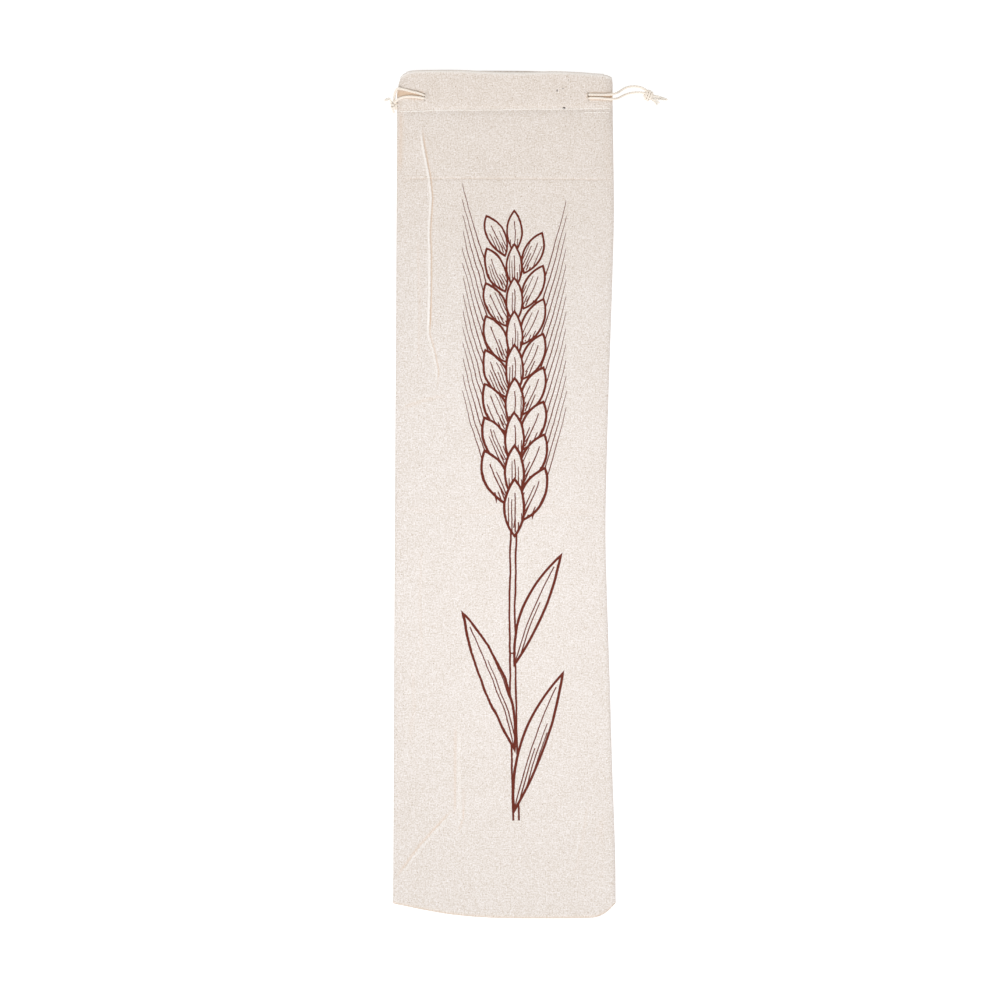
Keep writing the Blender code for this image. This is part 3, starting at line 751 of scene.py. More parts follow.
# %% Shader helper
class Shader:
    """A material's node tree."""

    def __init__(self, name):
        self.material = bpy.data.materials.new(name)
        self.material.use_nodes = True
        self.tree = self.material.node_tree
        self.tree.nodes.clear()

    def node(self, kind, settings=None, values=None, output=0):
        """Any node, from its settings and the values or links of its sockets."""
        plain = {
            socket: value.socket if isinstance(value, Number) else value
            for socket, value in (values or {}).items()
        }
        made = add_node(self.tree, kind, settings, plain)
        return Number(self, made.outputs[output] if made.outputs else None)

    def other_output(self, number, output):
        """Another output of the node that a number comes from."""
        return Number(self, number.socket.node.outputs[output])

    def number(self, value):
        """A plain number, where an expression starts with one."""
        return self.node("ShaderNodeMath", {"operation": "ADD"}, {0: value, 1: 0.0})

    def flat_place(self):
        """The two distances in millimetres on the piece's own flat pattern."""
        pattern = self.node("ShaderNodeUVMap", {"uv_map": FLAT_PATTERN})
        across = self.node("ShaderNodeSeparateXYZ", values={0: pattern})
        return across * (1 / MM), self.other_output(across, 1) * (1 / MM)

    def attribute(self, name):
        """A number that the mesh itself holds for each of its points."""
        settings = {"attribute_type": "GEOMETRY", "attribute_name": name}
        return self.node("ShaderNodeAttribute", settings, output=2)

    def vector(self, x, y, z=0.0):
        return self.node("ShaderNodeCombineXYZ", values={0: x, 1: y, 2: z})

    def noise(self, place, scale=1.0, detail=2.0):
        """Smooth noise from 0 to 1 at a place."""
        values = {"Vector": place, "Scale": scale, "Detail": detail}
        return self.node("ShaderNodeTexNoise", {"noise_dimensions": "3D"}, values)

    def chance(self, place):
        """A number from 0 to 1 that jumps from one place to the next."""
        return self.node("ShaderNodeTexWhiteNoise", {"noise_dimensions": "3D"}, {"Vector": place})

    def mixed(self, factor, under, over, blend="MIX"):
        """One colour over another."""
        settings = {"data_type": "RGBA", "blend_type": blend}
        return self.node("ShaderNodeMix", settings, {0: factor, 6: under, 7: over}, output=2)

    def bump(self, height, distance, strength):
        """The normal of a surface that is rough by a height."""
        values = {"Height": height, "Distance": distance, "Strength": strength}
        return self.node("ShaderNodeBump", values=values)

    def surface(self, **values):
        """Ends the tree with a Principled shader; spaces in its sockets' names are written as _."""
        named = {name.replace("_", " "): value for name, value in values.items()}
        shader = self.node("ShaderNodeBsdfPrincipled", values=named)
        self.node("ShaderNodeOutputMaterial", values={"Surface": shader})
        return self.material


print("shader helper ready")

# %% [markdown]
# ## Cotton for the cords
#
# The cords are undyed cotton, a shade whiter than the canvas. Fine fibres run along each ply, so the
# bump is noise that has been stretched that way, and the valleys between fibres are painted a little
# darker as shade.

# %% Cord material
COTTONS = {  # name: paler colour, darker colour
    "cotton cord": ((0.980, 0.955, 0.915, 1.0), (0.790, 0.680, 0.560, 1.0)),
    "frayed cotton": ((1.0, 0.970, 0.920, 1.0), (0.965, 0.890, 0.795, 1.0)),
    "sewing thread": ((0.985, 0.970, 0.945, 1.0), (0.930, 0.890, 0.830, 1.0)),
}
FIBRE_SHARE, PATCH_SHARE = 0.75, 0.25  # of the colour's unevenness
FIBRE_DEPTH = 0.12 * MM


def make_cotton(name, light, dark):
    """Cotton of two tones, mottled along its fibres."""
    shader = Shader(name)
    around, upward = shader.flat_place()
    fibres = shader.noise(shader.vector(around * 9.0, upward * 1.1), detail=3.0)
    patches = shader.noise(shader.vector(around * 0.4, upward * 0.35))
    # painted shade: the noise that makes the fibres' bump also darkens their valleys; the patches are
    # the cotton's own tone
    pale = fibres.ramp(0.30, 0.72) * FIBRE_SHARE + patches * PATCH_SHARE
    colour = shader.mixed(pale, dark, light)
    normal = shader.bump(fibres, FIBRE_DEPTH, 0.8)
    return shader.surface(
        Base_Color=colour,
        Roughness=0.88,
        Normal=normal,
        Specular_IOR_Level=0.2,
        Sheen_Weight=0.2,
        Sheen_Roughness=0.5,
    )


cotton, frayed_cotton, thread_cotton = (make_cotton(name, *pair) for name, pair in COTTONS.items())
print("cotton materials:", cotton.name, "and", frayed_cotton.name, "and", thread_cotton.name)

# %% Both drawstrings
cords = {}
for side, line in cord_lines.items():
    tubes = Tubes()
    for ply in twisted_plies(line):
        tubes.add(ply, PLY_RADIUS, PLY_SIDES)
    cords[side] = tubes.finish(side + "_cord", cotton)
    print(cords[side].name, "has", len(cords[side].data.polygons), "faces")

# %% [markdown]
# ## Knots
#
# Both strands of a cord end in one stopper knot, tied in the doubled cord. At the right, the cord
# winds almost three times round its own strands, so the knot shows slanting wraps. At the left the
# wraps sag and show a V. A lump with painted lines would not catch the light between its wraps,
# so the winding itself is written as a path and the same three plies are swept along it.

# %% Knot paths
KNOT_CENTRE = {"right": (108.9, 301.1, 2.9), "left": (-82.8, 293.7, 6.6)}
KNOT_TURN = {"right": (0.0, 0.0, -15.0), "left": (38.0, 0.0, -94.0)}
KNOT_POINTS, KNOT_STEP = 130, 0.5


def turned(points, degrees, centre):
    """Points turned about X, then Y, then Z, and moved to a place."""
    for axis, angle in zip(((1, 2), (2, 0), (0, 1)), degrees):
        first, second = axis
        cos, sin = math.cos(math.radians(angle)), math.sin(math.radians(angle))
        moved = points.copy()
        moved[:, first] = points[:, first] * cos - points[:, second] * sin
        moved[:, second] = points[:, first] * sin + points[:, second] * cos
        points = moved
    return points + np.array(centre)


def winding_knot(turns=2.7, pitch=1.95, lean=0.14, wide=3.55, high=1.75, barrel_end=5.4, drop=1.3):
    """A cord wound round its own two strands, its wraps leaning over and each a bit lower."""
    t = np.linspace(0.0, 1.0, KNOT_POINTS)
    angle = 2 * math.pi * turns * t - 0.4 * math.pi
    tuck = 1 - 0.62 * (1 - eased(t / 0.10)) - 0.62 * (1 - eased((1 - t) / 0.10))
    x = pitch * turns * (t - 0.5)
    barrel = np.sqrt(1 - (x / barrel_end) ** 2)
    y = wide * tuck * barrel * np.cos(angle) - drop * (t - 0.4)
    z = high * tuck * barrel * np.sin(angle)
    return [np.stack([x + lean * y, y, z], axis=1)]


def sagging_knot(turns=1.9, pitch=2.3, sag=2.4, wide=2.95, high=1.55, narrows=0.40):
    """A cord wound down round its own two strands, each wrap sagging to a V where it shows."""
    t = np.linspace(0.0, 1.0, KNOT_POINTS)
    angle = 2 * math.pi * turns * t + 0.4 * math.pi
    width = wide * (1 - narrows * t)
    x = pitch * turns * (t - 0.55) + sag * np.maximum(np.sin(angle), 0.0)
    return [np.stack([x, width * np.cos(angle), high * np.sin(angle)], axis=1)]


def core_strands(reach, spread):
    """The two strands that run through the middle of a knot."""
    x = np.linspace(-reach, reach, 24)
    return [np.stack([x, side * spread + 0 * x, 0 * x], axis=1) for side in (1, -1)]


print("a knot's path has", KNOT_POINTS, "points")

# %% Both knots
knot_paths = {
    "right": winding_knot() + core_strands(3.6, 1.05),
    "left": sagging_knot() + core_strands(2.2, 0.85),
}
knots = {}
for side, paths in knot_paths.items():
    tubes = Tubes()
    for number, path in enumerate(paths):
        placed_path = turned(path, KNOT_TURN[side], KNOT_CENTRE[side])
        for ply in twisted_plies(placed_path, KNOT_STEP, phase=1.1 * number):
            tubes.add(ply, PLY_RADIUS, KNOT_PLY_SIDES)
    knots[side] = tubes.finish(side + "_knot_wraps", cotton)
    print(knots[side].name, "has", len(knots[side].data.polygons), "faces")

# %% [markdown]
# ## Frayed tails
#
# Beyond its knot each cord end has come untwisted: two to five millimetres of plies, then loose
# fibres that curl. Most ends fan out; the long one at the right bulges and then draws together in a
# wisp. Each fibre is one very thin tube. Where it leaves the cord's end and how it curls are chance,
# drawn with a fixed seed for each tail.

# %% Tails
def fan(share, spread):
    """How far fibres stand apart along a tail that opens towards its tip."""
    return 1 + spread * share**1.6


def wisp(share, spread):
    """How far fibres stand apart along a tail that bulges and draws together again."""
    return (1 + spread * np.sin(math.pi * share**0.7)) * (1 - 0.6 * share)


TAILS = (  # name, side, route from the knot, twisted length, fibres, how they open, spread
    ("right_tail_long_frayed", "right", (
        (110.8, 300.9, 2.7), (112.2, 300.4, 2.3), (116.6, 299.3, 1.5), (120.3, 298.6, 1.1),
        (124.2, 298.2, 0.9),
    ), 2.2, 76, wisp, 1.45),
    ("right_tail_short_frayed", "right", (
        (110.2, 299.6, 2.5), (111.8, 298.2, 2.0), (114.4, 296.6, 1.4), (116.9, 294.3, 1.0),
    ), 2.4, 58, fan, 1.15),
    ("left_tail_long_frayed", "left", (
        (-85.3, 294.6, 5.9), (-85.6, 296.8, 5.7), (-86.6, 298.4, 5.0), (-88.5, 298.0, 3.9),
        (-90.9, 296.6, 2.9),
    ), 5.0, 60, fan, 1.5),
    ("left_tail_short_frayed", "left", (
        (-84.0, 290.8, 5.0), (-83.9, 289.8, 4.4), (-83.7, 288.7, 3.6), (-83.6, 287.7, 2.8),
    ), 1.8, 30, fan, 0.5),
)
print(len(TAILS), "tails with", sum(row[4] for row in TAILS), "loose fibres")

# %% Loose fibres
FIBRE_RADIUS = 0.10
FIBRE_TIP, PLY_TIP = 0.6, 0.8  # share of their width that is left at the tip
TAIL_STEP, TAIL_SEED = 0.5, 40
LEAVES_BEFORE = (0.3, 1.2)  # a fibre leaves the cord this far before its twist ends
ENDS_AT = (0.78, 1.0)  # share of the tail
SHORTEST = 2.5
BUNDLE_RADIUS, CURL = 0.9, 0.3
ABOVE_FLOOR = 0.02


def frayed_fibres(line, start, count, opening, spread, chance):
    """Fibres that leave a cord's end, as arrays of points."""
    fine = spaced(line, TAIL_STEP)
    passed = np.linspace(0.0, line_length(line), len(fine))
    _, across, upward = frames_along(fine)
    fibres = []
    for _ in range(count):
        begin = start - chance.uniform(*LEAVES_BEFORE)
        end = passed[-1] * chance.uniform(*ENDS_AT)
        kept = (passed >= begin) & (passed <= max(end, begin + SHORTEST))
        share = np.clip((passed[kept] - begin) / (passed[-1] - begin), 0.0, 1.0)[:, None]
        angle = chance.uniform(0, 2 * math.pi)
        out = BUNDLE_RADIUS * math.sqrt(chance.uniform(0.05, 1.0))
        curl = CURL * share * np.sin(share * chance.uniform(4, 9) + chance.uniform(0, 6))
        sideways = np.cos(angle) * out * opening(share, spread) + curl
        lifted = np.sin(angle) * out * (1 + 0.25 * spread * share) * (1 - 0.35 * share)
        fibre = fine[kept] + across[kept] * sideways + upward[kept] * lifted
        fibre[:, 2] = np.maximum(fibre[:, 2], FIBRE_RADIUS + ABOVE_FLOOR)
        fibres.append(fibre)
    return fibres


tails = {"right": [], "left": []}
for number, (name, side, route, twisted, count, opening, spread) in enumerate(TAILS):
    chance = np.random.default_rng(TAIL_SEED + number)
    line = smooth_line(free(*route))
    tubes = Tubes()
    whole = spaced(line, TAIL_STEP)
    for ply in twisted_plies(whole[: max(6, round(twisted / TAIL_STEP))]):
        tubes.add(ply, np.linspace(PLY_RADIUS, PLY_TIP * PLY_RADIUS, len(ply)), KNOT_PLY_SIDES)
    for fibre in frayed_fibres(line, twisted, count, opening, spread, chance):
        tubes.add(fibre, np.linspace(FIBRE_RADIUS, FIBRE_TIP * FIBRE_RADIUS, len(fibre)), FIBRE_SIDES)
    tails[side].append(tubes.finish(name, frayed_cotton))
    print(name, "has", count, "loose fibres")

# %% [markdown]
# ## Linen canvas
#
# The canvas is a plain weave of unbleached yarn, about two threads to a millimetre. Up close each
# thread passes over and under its neighbours; from further off one sees streaks where a yarn is
# paler or thicker, soft mottling, and brown specks of plant husk. All of it is worked out from the
# flat pattern, so that the threads bend with the cloth and go on round the fold of the mouth.

# %% Weave
THREAD = 0.52  # from one thread to the next
YARN_LIGHT = (0.925, 0.890, 0.885, 1.0)
YARN_DARK = (0.555, 0.475, 0.386, 1.0)
PAINTED_SHADE = (0.730, 0.530, 0.370, 1.0)  # painted shade: warm brown beside creases, under the cords and along the bottom edge
# painted highlight beside creases and along the mouth's edge
PAINTED_HIGHLIGHT = (0.970, 0.945, 0.910, 1.0)
MOUTH_END_SHADE = (1.0, 0.985, 0.970, 1.0)  # painted shade: the canvas is a little warmer and darker towards the mouth
CASING_LIGHT = (1.040, 1.035, 1.030, 1.0)  # and painted light: a little lighter over the casing, where the cloth lies double
HUSK = (0.330, 0.215, 0.130, 1.0)
DARK_HUSK = (0.060, 0.042, 0.034, 1.0)
ROUND_THREAD, BENT_THREAD = 0.8, 0.3  # powers: rounded across each thread, and curved along it
YARN_STEP, YARN_DRIFT = 3.7, 0.25  # in the noise, from yarn to yarn and for a millimetre along one
SPECKS = (7.5, 0.46, 0.55)  # spacing, largest radius, share of places that have one
DUST, DUST_AWAY, DUST_SHOWS = (2.3, 0.26, 0.55), 40.0, 0.7  # finer ones, away from the specks
SLUB_HEIGHT = 0.7
YARN_SHARE, FINE_SHARE, BROAD_SHARE, THREAD_GAP_SHADE_SHARE = 0.40, 0.46, 0.04, 0.16  # of the light and dark
WEAVE_DEPTH = 0.16 * MM


def woven(shader, across, upward, seed):
    """Height of a plain weave from 0 to 1, and the tone of whichever thread lies on top."""
    warp, weft = across / THREAD, upward / THREAD
    ridge_up = abs((warp * math.pi).sine())
    ridge_across = abs((weft * math.pi).sine())
    warp_on_top = ((warp.floor() + weft.floor()) * 0.5).fraction() > 0.25
    warp_height = (ridge_up**ROUND_THREAD) * (ridge_across**BENT_THREAD)
    weft_height = (ridge_across**ROUND_THREAD) * (ridge_up**BENT_THREAD)
    height = warp_on_top * warp_height + (1 - warp_on_top) * weft_height
    up_a_yarn = shader.vector(warp.floor() * YARN_STEP, upward * YARN_DRIFT, seed)
    across_a_yarn = shader.vector(across * YARN_DRIFT, weft.floor() * YARN_STEP, seed + 5.0)
    warp_yarn, weft_yarn = (shader.noise(at, detail=1.5) for at in (up_a_yarn, across_a_yarn))
    tone = warp_on_top * warp_yarn + (1 - warp_on_top) * weft_yarn
    return height, tone


def husk_specks(shader, across, upward, spacing, largest, share):
    """Small specks at random places: one to a cell at most, in a share of the cells."""
    place = shader.vector(across * (1.35 / spacing), upward / spacing)
    cells = {"voronoi_dimensions": "2D", "feature": "F1"}
    nearest = shader.node("ShaderNodeTexVoronoi", cells, {"Vector": place, "Scale": 1.0})
    tint = shader.other_output(nearest, "Color")
    first = shader.node("ShaderNodeSeparateXYZ", values={0: tint})
    second = shader.other_output(first, 1)
    size = (0.35 + 0.65 * second) * (largest / spacing)
    there = first < share
    return there * (1 - (nearest / size).ramp(0.55, 1.0)) * (0.45 + 0.55 * second)


def linen_colour(shader, across, upward, seed):
    """The canvas without any print: its colour, its normal and the height of its weave."""
    height, tone = woven(shader, across, upward, seed)
    place = shader.vector(across, upward, seed)
    fine_mottle = shader.noise(place, scale=0.95)
    broad_mottle = shader.noise(place, scale=0.035)
    light = tone.ramp(0.28, 0.72) * YARN_SHARE + fine_mottle.ramp(0.32, 0.68) * FINE_SHARE
    # painted shade: the tops of the threads are lighter and the gaps between them darker
    light = light + broad_mottle.ramp(0.3, 0.7) * BROAD_SHARE + height * THREAD_GAP_SHADE_SHARE
    colour = shader.mixed(light.ramp(0.12, 0.93), YARN_DARK, YARN_LIGHT)
    specks = husk_specks(shader, across, upward, *SPECKS)
    dust = husk_specks(shader, across, upward + DUST_AWAY, *DUST)
    colour = shader.mixed(specks.most(dust * DUST_SHOWS), colour, HUSK)
    slubs = shader.noise(shader.vector(across * 0.5, upward * 3.0, seed), detail=1.0)
    normal = shader.bump(height + slubs.ramp(0.62, 0.85) * SLUB_HEIGHT, WEAVE_DEPTH, 0.75)
    return colour, normal, height


print(f"canvas of {10 / THREAD:.0f} threads to the centimetre")

# %% [markdown]
# ## The printed design
#
# The front carries a tall one-colour print in red-brown ink. Here it is a plain stalk of wheat, drawn
# as a printmaker would cut it: bold outlines, and short hatching that stops at uneven lengths. Each
# grain and leaf is one pointed oval, and a signed distance to that oval gives both its outline and
# its inside. A row of grains costs no more than two of them, because its rule repeats up the row.

# %% Drawing tools for the print
INK = (0.125, 0.013, 0.004, 1.0)
HATCH_PITCH = 2.4
OUTLINE_WIDTH, MIDRIB_WIDTH = 2.0, 0.9
PEN_SOFTNESS = 0.12


def pointed_oval(up, out, half_length, half_width):
    """Distance to a pointed oval's outline, less than 0 inside it."""
    radius = (half_length**2 + half_width**2) / (2 * half_width)
    shifted = abs(out) + (radius - half_width)
    return (up * up + shifted * shifted).root() - radius


def pen_line(distance, width):
    """1 on a line, 0 beside it, with a soft edge."""
    return 1 - (abs(distance) - width * 0.5).ramp(-PEN_SOFTNESS, PEN_SOFTNESS)


def hatching(shader, up, out, half_length, seed, reach=1.0):
    """Lines along a shape from its lower end, of uneven length."""
    number = (out / HATCH_PITCH).floor()
    middle = out - (number + 0.5) * HATCH_PITCH
    length = shader.chance(shader.vector(number, seed, 3.0))
    ends = (length * 1.35 - 0.80) * (half_length * reach)
    width = 1.15 - (up + half_length) * (0.35 / half_length)
    return pen_line(middle, width) * (up < ends) * (up > -0.86 * half_length)


print("outlines are", OUTLINE_WIDTH, "mm wide, hatching stands", HATCH_PITCH, "mm apart")

# %% Ear of grains
GRAIN_PITCH, FIRST_GRAIN, FIRST_FRONT_GRAIN = 26.0, 0.0, -10.0
GRAIN_SHRINK = 0.032  # each grain is smaller by this than the one below
GRAIN_LENGTH = 21.5  # half of it
LEAN = math.radians(24.0)
BEARD_FROM, BEARD_REACH = 13.0, 26.0  # the hairs start this far from the middle
HAIR_PITCH = 12.0


def grain_row(shader, sideways, upward, grains, start, half_width, lean, seed):
    """A row of grains, each over the one above it: its lines, and where it covers what is behind."""
    place = (upward - start) / GRAIN_PITCH
    lines, covers = [], []
    for step in (0, 1):
        number = place.floor() + step
        size = 1 - number * GRAIN_SHRINK
        up = (place.fraction() - step) * GRAIN_PITCH / size
        out = sideways / size
        along_grain = up * math.cos(lean) + out * math.sin(lean)
        across_grain = out * math.cos(lean) - up * math.sin(lean)
        there = (number > -0.5) * (number < grains - 0.5)
        outline = pointed_oval(along_grain, across_grain, GRAIN_LENGTH, half_width)
        inside = (outline < 0.0) * there
        bent = across_grain + along_grain * along_grain * 0.006 - 0.8
        groove = pen_line(bent, MIDRIB_WIDTH) * (abs(along_grain + 2.0) < 13.0)
        shade = hatching(shader, along_grain, across_grain + 0.6, GRAIN_LENGTH, number * 2.3 + seed)
        edge = pen_line(outline, OUTLINE_WIDTH)
        lines.append((groove.most(shade) * (outline < -0.6)).most(edge) * there)
        covers.append(inside)
    return lines[0].most((1 - covers[0]) * lines[1]), covers[0].most(covers[1])


def ear_of_wheat(shader, u, v):
    """Two leaning rows of grains, an upright row in front of them, and the beard behind."""
    on_left = u < 0.0
    shifted = v - on_left * (0.5 * GRAIN_PITCH)
    side_u, seed = abs(u) - 14.0, on_left * 7.0 + 1.0
    side_lines, side_covers = grain_row(shader, side_u, shifted, 8, FIRST_GRAIN, 8.8, LEAN, seed)
    front_lines, front_covers = grain_row(shader, u, v, 9, FIRST_FRONT_GRAIN, 7.4, 0.0, 4.0)
    lines = front_lines.most((1 - front_covers) * side_lines)
    covers = front_covers.most(side_covers)
    reach = abs(u) - BEARD_FROM
    hair = shifted - reach * 2.3 - reach * reach * 0.035
    nearest = ((hair / HAIR_PITCH).fraction() - 0.5) * HAIR_PITCH
    width = 1.35 - reach * 0.026
    in_reach = (reach > 0.0) * (reach < BEARD_REACH) * (hair > -20.0) * (hair < 148.0)
    beard = pen_line(nearest * 0.36, width) * in_reach
    return lines.most((1 - covers) * beard), covers


print("each grain is", 2 * GRAIN_LENGTH, "mm long at the foot of the ear")

# %% Stalk and leaves
LEAVES = (  # y of its foot, lean in degrees, half length, half width, bend, seed
    (-238.0, 12.0, 54.0, 8.8, 0.0012, 11.0),
    (-192.0, -13.0, 54.0, 8.6, -0.0013, 23.0),
    (-128.0, 15.0, 44.0, 7.8, 0.0016, 37.0),
)
STALK_FOOT, STALK_TOP, STALK_JOINTS = -246.0, -12.0, (-120.0, -190.0)
PRINT_MIDDLE = 7.7  # x of the stalk, right of the bag's middle


def leaf(shader, u, v, foot, lean, half_length, half_width, bend, seed):
    """One long leaf with its midrib and hatching."""
    cos, sin = math.cos(math.radians(lean)), math.sin(math.radians(lean))
    up = (v - foot) * cos + u * sin
    out = u * cos - (v - foot) * sin - up * up * bend
    along_leaf = up - half_length
    outline = pointed_oval(along_leaf, out, half_length, half_width)
    midrib = pen_line(out, MIDRIB_WIDTH) * (along_leaf < 0.8 * half_length)
    shade = hatching(shader, along_leaf, out + 1.2, half_length, seed, 1.1) * (out > 0.0)
    drawn = (midrib.most(shade) * (outline < -0.5)).most(pen_line(outline, OUTLINE_WIDTH))
    return drawn, outline < 0.0


def stalk_and_leaves(shader, u, v):
    """A stalk of two lines with its joints, and the leaves in front of it."""
    aside = abs(u - (v * 0.016).sine() * 1.6)
    stalk = pen_line(aside - 2.1, 1.5) * (v > STALK_FOOT) * (v < STALK_TOP)
    first_joint, second_joint = (pen_line(v - joint, 1.2) for joint in STALK_JOINTS)
    lines = stalk.most(first_joint.most(second_joint) * (aside < 2.4))
    for row in LEAVES:
        drawn, inside = leaf(shader, u, v, *row)
        lines = drawn.most((1 - inside) * lines)
    return lines


def wheat_print(shader, across, upward):
    """How much ink lies at a place of the front panel."""
    place = shader.vector(across, upward)
    sway = shader.noise(place, scale=0.045, detail=1.0) - 0.5
    tremor = shader.noise(place, scale=0.4, detail=1.0) - 0.5
    u = across - PRINT_MIDDLE + sway * 2.2 + tremor * 0.5
    v = upward + sway * 3.0 + tremor * 0.5
    ear, covers = ear_of_wheat(shader, u, v)
    ink = ear.most((1 - covers) * stalk_and_leaves(shader, u, v))
    wear_and_painted_light = shader.noise(place, scale=1.3).ramp(0.22, 0.42)
    return ink * (0.90 + 0.10 * wear_and_painted_light)


print(len(LEAVES), "leaves on a stalk", STALK_TOP - STALK_FOOT, "mm long")

# %% Linen materials
FLECKS = (  # the few dark husks near the mouth: x, y, half width, half height, darkness
    (39.8, 304.1, 0.60, 0.95, 0.80),
    (44.2, 305.6, 0.6, 0.5, 0.65),
    (45.2, 290.9, 1.20, 1.05, 1.0),
    (68.2, 293.6, 0.5, 0.5, 0.35),
    (48.5, 312.0, 0.45, 0.6, 0.35),
)
MOUTH_SHADE_SPAN = (140.0, 250.0)  # y from where to where the painted shade towards the mouth comes in
CASING_STARTS = (289.0, 291.5)
PAINTED_LIGHT_ATTRIBUTE = "crease_wear"  # the attribute that holds each point's painted shade, above 0, and painted highlight, below 0
PAINTED_LIGHT_SHOWS = 0.85


def make_linen(name, seed, printed):
    """Canvas for one panel: plain, or with the print, the painted shade and highlight and the flecks
    of the front.
    """
    shader = Shader(name)
    across, upward = shader.flat_place()
    colour, normal, height = linen_colour(shader, across, upward, seed)
    if printed:
        # painted shade: warmer and darker towards the mouth
        colour = shader.mixed(upward.ramp(*MOUTH_SHADE_SPAN), colour, MOUTH_END_SHADE, "MULTIPLY")
        # painted light over the casing
        colour = shader.mixed(upward.ramp(*CASING_STARTS), colour, CASING_LIGHT, "MULTIPLY")
        # painted shade and highlight beside creases, under the cords and at the bag's bottom and mouth
        # edges
        painted_light = shader.attribute(PAINTED_LIGHT_ATTRIBUTE)
        colour = shader.mixed(painted_light.most(0.0) * PAINTED_LIGHT_SHOWS, colour, PAINTED_SHADE)
        colour = shader.mixed((-painted_light).most(0.0) * PAINTED_LIGHT_SHOWS, colour, PAINTED_HIGHLIGHT)
        for x, y, half_width, half_height, darkness in FLECKS:
            off_x, off_y = (across - x) / half_width, (upward - y) / half_height
            near = 1 - (off_x * off_x + off_y * off_y).ramp(0.5, 1.2)
            colour = shader.mixed(near * darkness, colour, DARK_HUSK)
        ink = wheat_print(shader, across, upward)
        colour = shader.mixed(ink * (0.95 + 0.05 * height), colour, INK)
    return shader.surface(
        Base_Color=colour,
        Roughness=0.92,
        Normal=normal,
        Specular_IOR_Level=0.05,
        Sheen_Weight=0.02,
        Sheen_Roughness=0.6,
    )


linen_front = make_linen("linen front", 1.0, True)
linen_back = make_linen("linen back", 9.0, False)
for material in (linen_front, linen_back):
    print(material.name, "has", len(material.node_tree.nodes), "nodes")

# %% [markdown]
# ## The cloth panels
#
# Each panel is one cut of canvas. It is modelled as a single sheet of quads: rows run across the
# bag, columns run up it, and a few columns follow the long crease and the slits, so that sharp
# features lie along edges of the mesh. Past the mouth the rows go on over the fold and down inside
# as the hem. A Solidify modifier then gives the sheet its thickness, outwards to the same surface
# as the solid model's.

# %% Guides for the columns
CREASE_GUIDE = np.array([  # y, x: up the long crease, then over to the left slit
    (84.9, -51.5), (91.7, -50.4), (108.3, -53.3), (121.1, -57.1), (151.3, -56.0), (180.8, -55.7),
    (196.6, -56.7), (211.7, -55.7), (223.8, -54.7), (238.9, -56.5), (260.4, -60.6), (278.0, -63.2),
    (291.0, SLIT_X["left"]), (320.0, SLIT_X["left"]),
])
GUIDE_X = 1
NEAR_EDGE = (0.0, 0.2, 0.5, 0.9, 1.4, 2.1, 3.0, 4.2, 5.6, 7.2, 9.0)  # from sides and bottom
BESIDE_CREASE = (-3.4, -2.4, -1.6, -1.0, -0.5, -0.2, 0.0, 0.3, 0.7, 1.2, 1.9, 2.9, 4.2)
BESIDE_SLIT = (-4.0, -3.0, -2.2, -1.5, -0.9, -0.4, 0.0, 0.4, 0.9, 1.5, 2.2, 3.0, 4.0)
HEM_LEFT, HEM_RIGHT = -70.5, 72.0  # x of the hem's own side edges
FOLD_TAPER = 5.0  # width over which the fold closes beyond each end of the hem
SETTLING = 5  # the columns move with y, so their places settle in a few steps


def panel_edges(y):
    """X of a panel's left and right edges, half a layer in from the bag's outline."""
    return along(SIDES, LEFT, y) + CLOTH / 2, along(SIDES, RIGHT, y) - CLOTH / 2


def fold_radius(x):
    """Radius of the mouth's fold, which tapers to nothing at the bag's corners."""
    return FOLD_RADIUS * eased(np.minimum(x - HEM_LEFT, HEM_RIGHT - x) / FOLD_TAPER + 1.0)


def slit_guide(y):
    """A line that keeps its distance to the right edge and passes through the right slit."""
    _, right = panel_edges(y)
    _, right_at_slit = panel_edges(np.array(SLIT_Y["right"]))
    return right - (right_at_slit - SLIT_X["right"])


print("columns keep to", len(NEAR_EDGE), "steps from each side seam")

# %% Grid of a panel
def column_rules(guides, fills):
    """Each column as shares of the guides and a step aside. guides lists each guide's own steps."""
    rules = []
    for place, steps in enumerate(guides):
        if place:
            start, end = (place - 1, guides[place - 1][-1]), (place, steps[0])
            for step in range(1, fills[place - 1]):
                share = step / fills[place - 1]
                weights = [0.0] * len(guides)
                weights[start[0]], weights[end[0]] = 1 - share, share
                rules.append((*weights, start[1] * (1 - share) + end[1] * share))
        for step in steps:
            weights = [0.0] * len(guides)
            weights[place] = 1.0
            rules.append((*weights, step))
    return np.array(rules)


def front_guides(y):
    """X of the lines that the front panel's columns keep to: edge, crease, slit and edge."""
    left, right = panel_edges(y)
    return left, along(CREASE_GUIDE, GUIDE_X, y), slit_guide(y), right


def panel_grid(rules, guides, distances, top_column):
    """X and Y of a panel's rows and columns, from the bottom seam to the mouth's fold."""
    share_up = (np.array(distances) / distances[-1])[:, None]
    y = BASE + LENGTH * share_up + np.zeros((1, len(rules)))
    for _ in range(SETTLING):
        x = sum(guide * rules[:, k] for k, guide in enumerate(guides(y))) + rules[:, -1]
        across = share_across(x, y)
        bottom = along(ENDS, BOTTOM, across) + CLOTH / 2
        top = along(ENDS, top_column, across) - CLOTH / 2 - fold_radius(x)
        y = bottom + (top - bottom) * share_up
    x = sum(guide * rules[:, k] for k, guide in enumerate(guides(y))) + rules[:, -1]
    return x, y


print("places in a grid settle in", SETTLING, "steps")

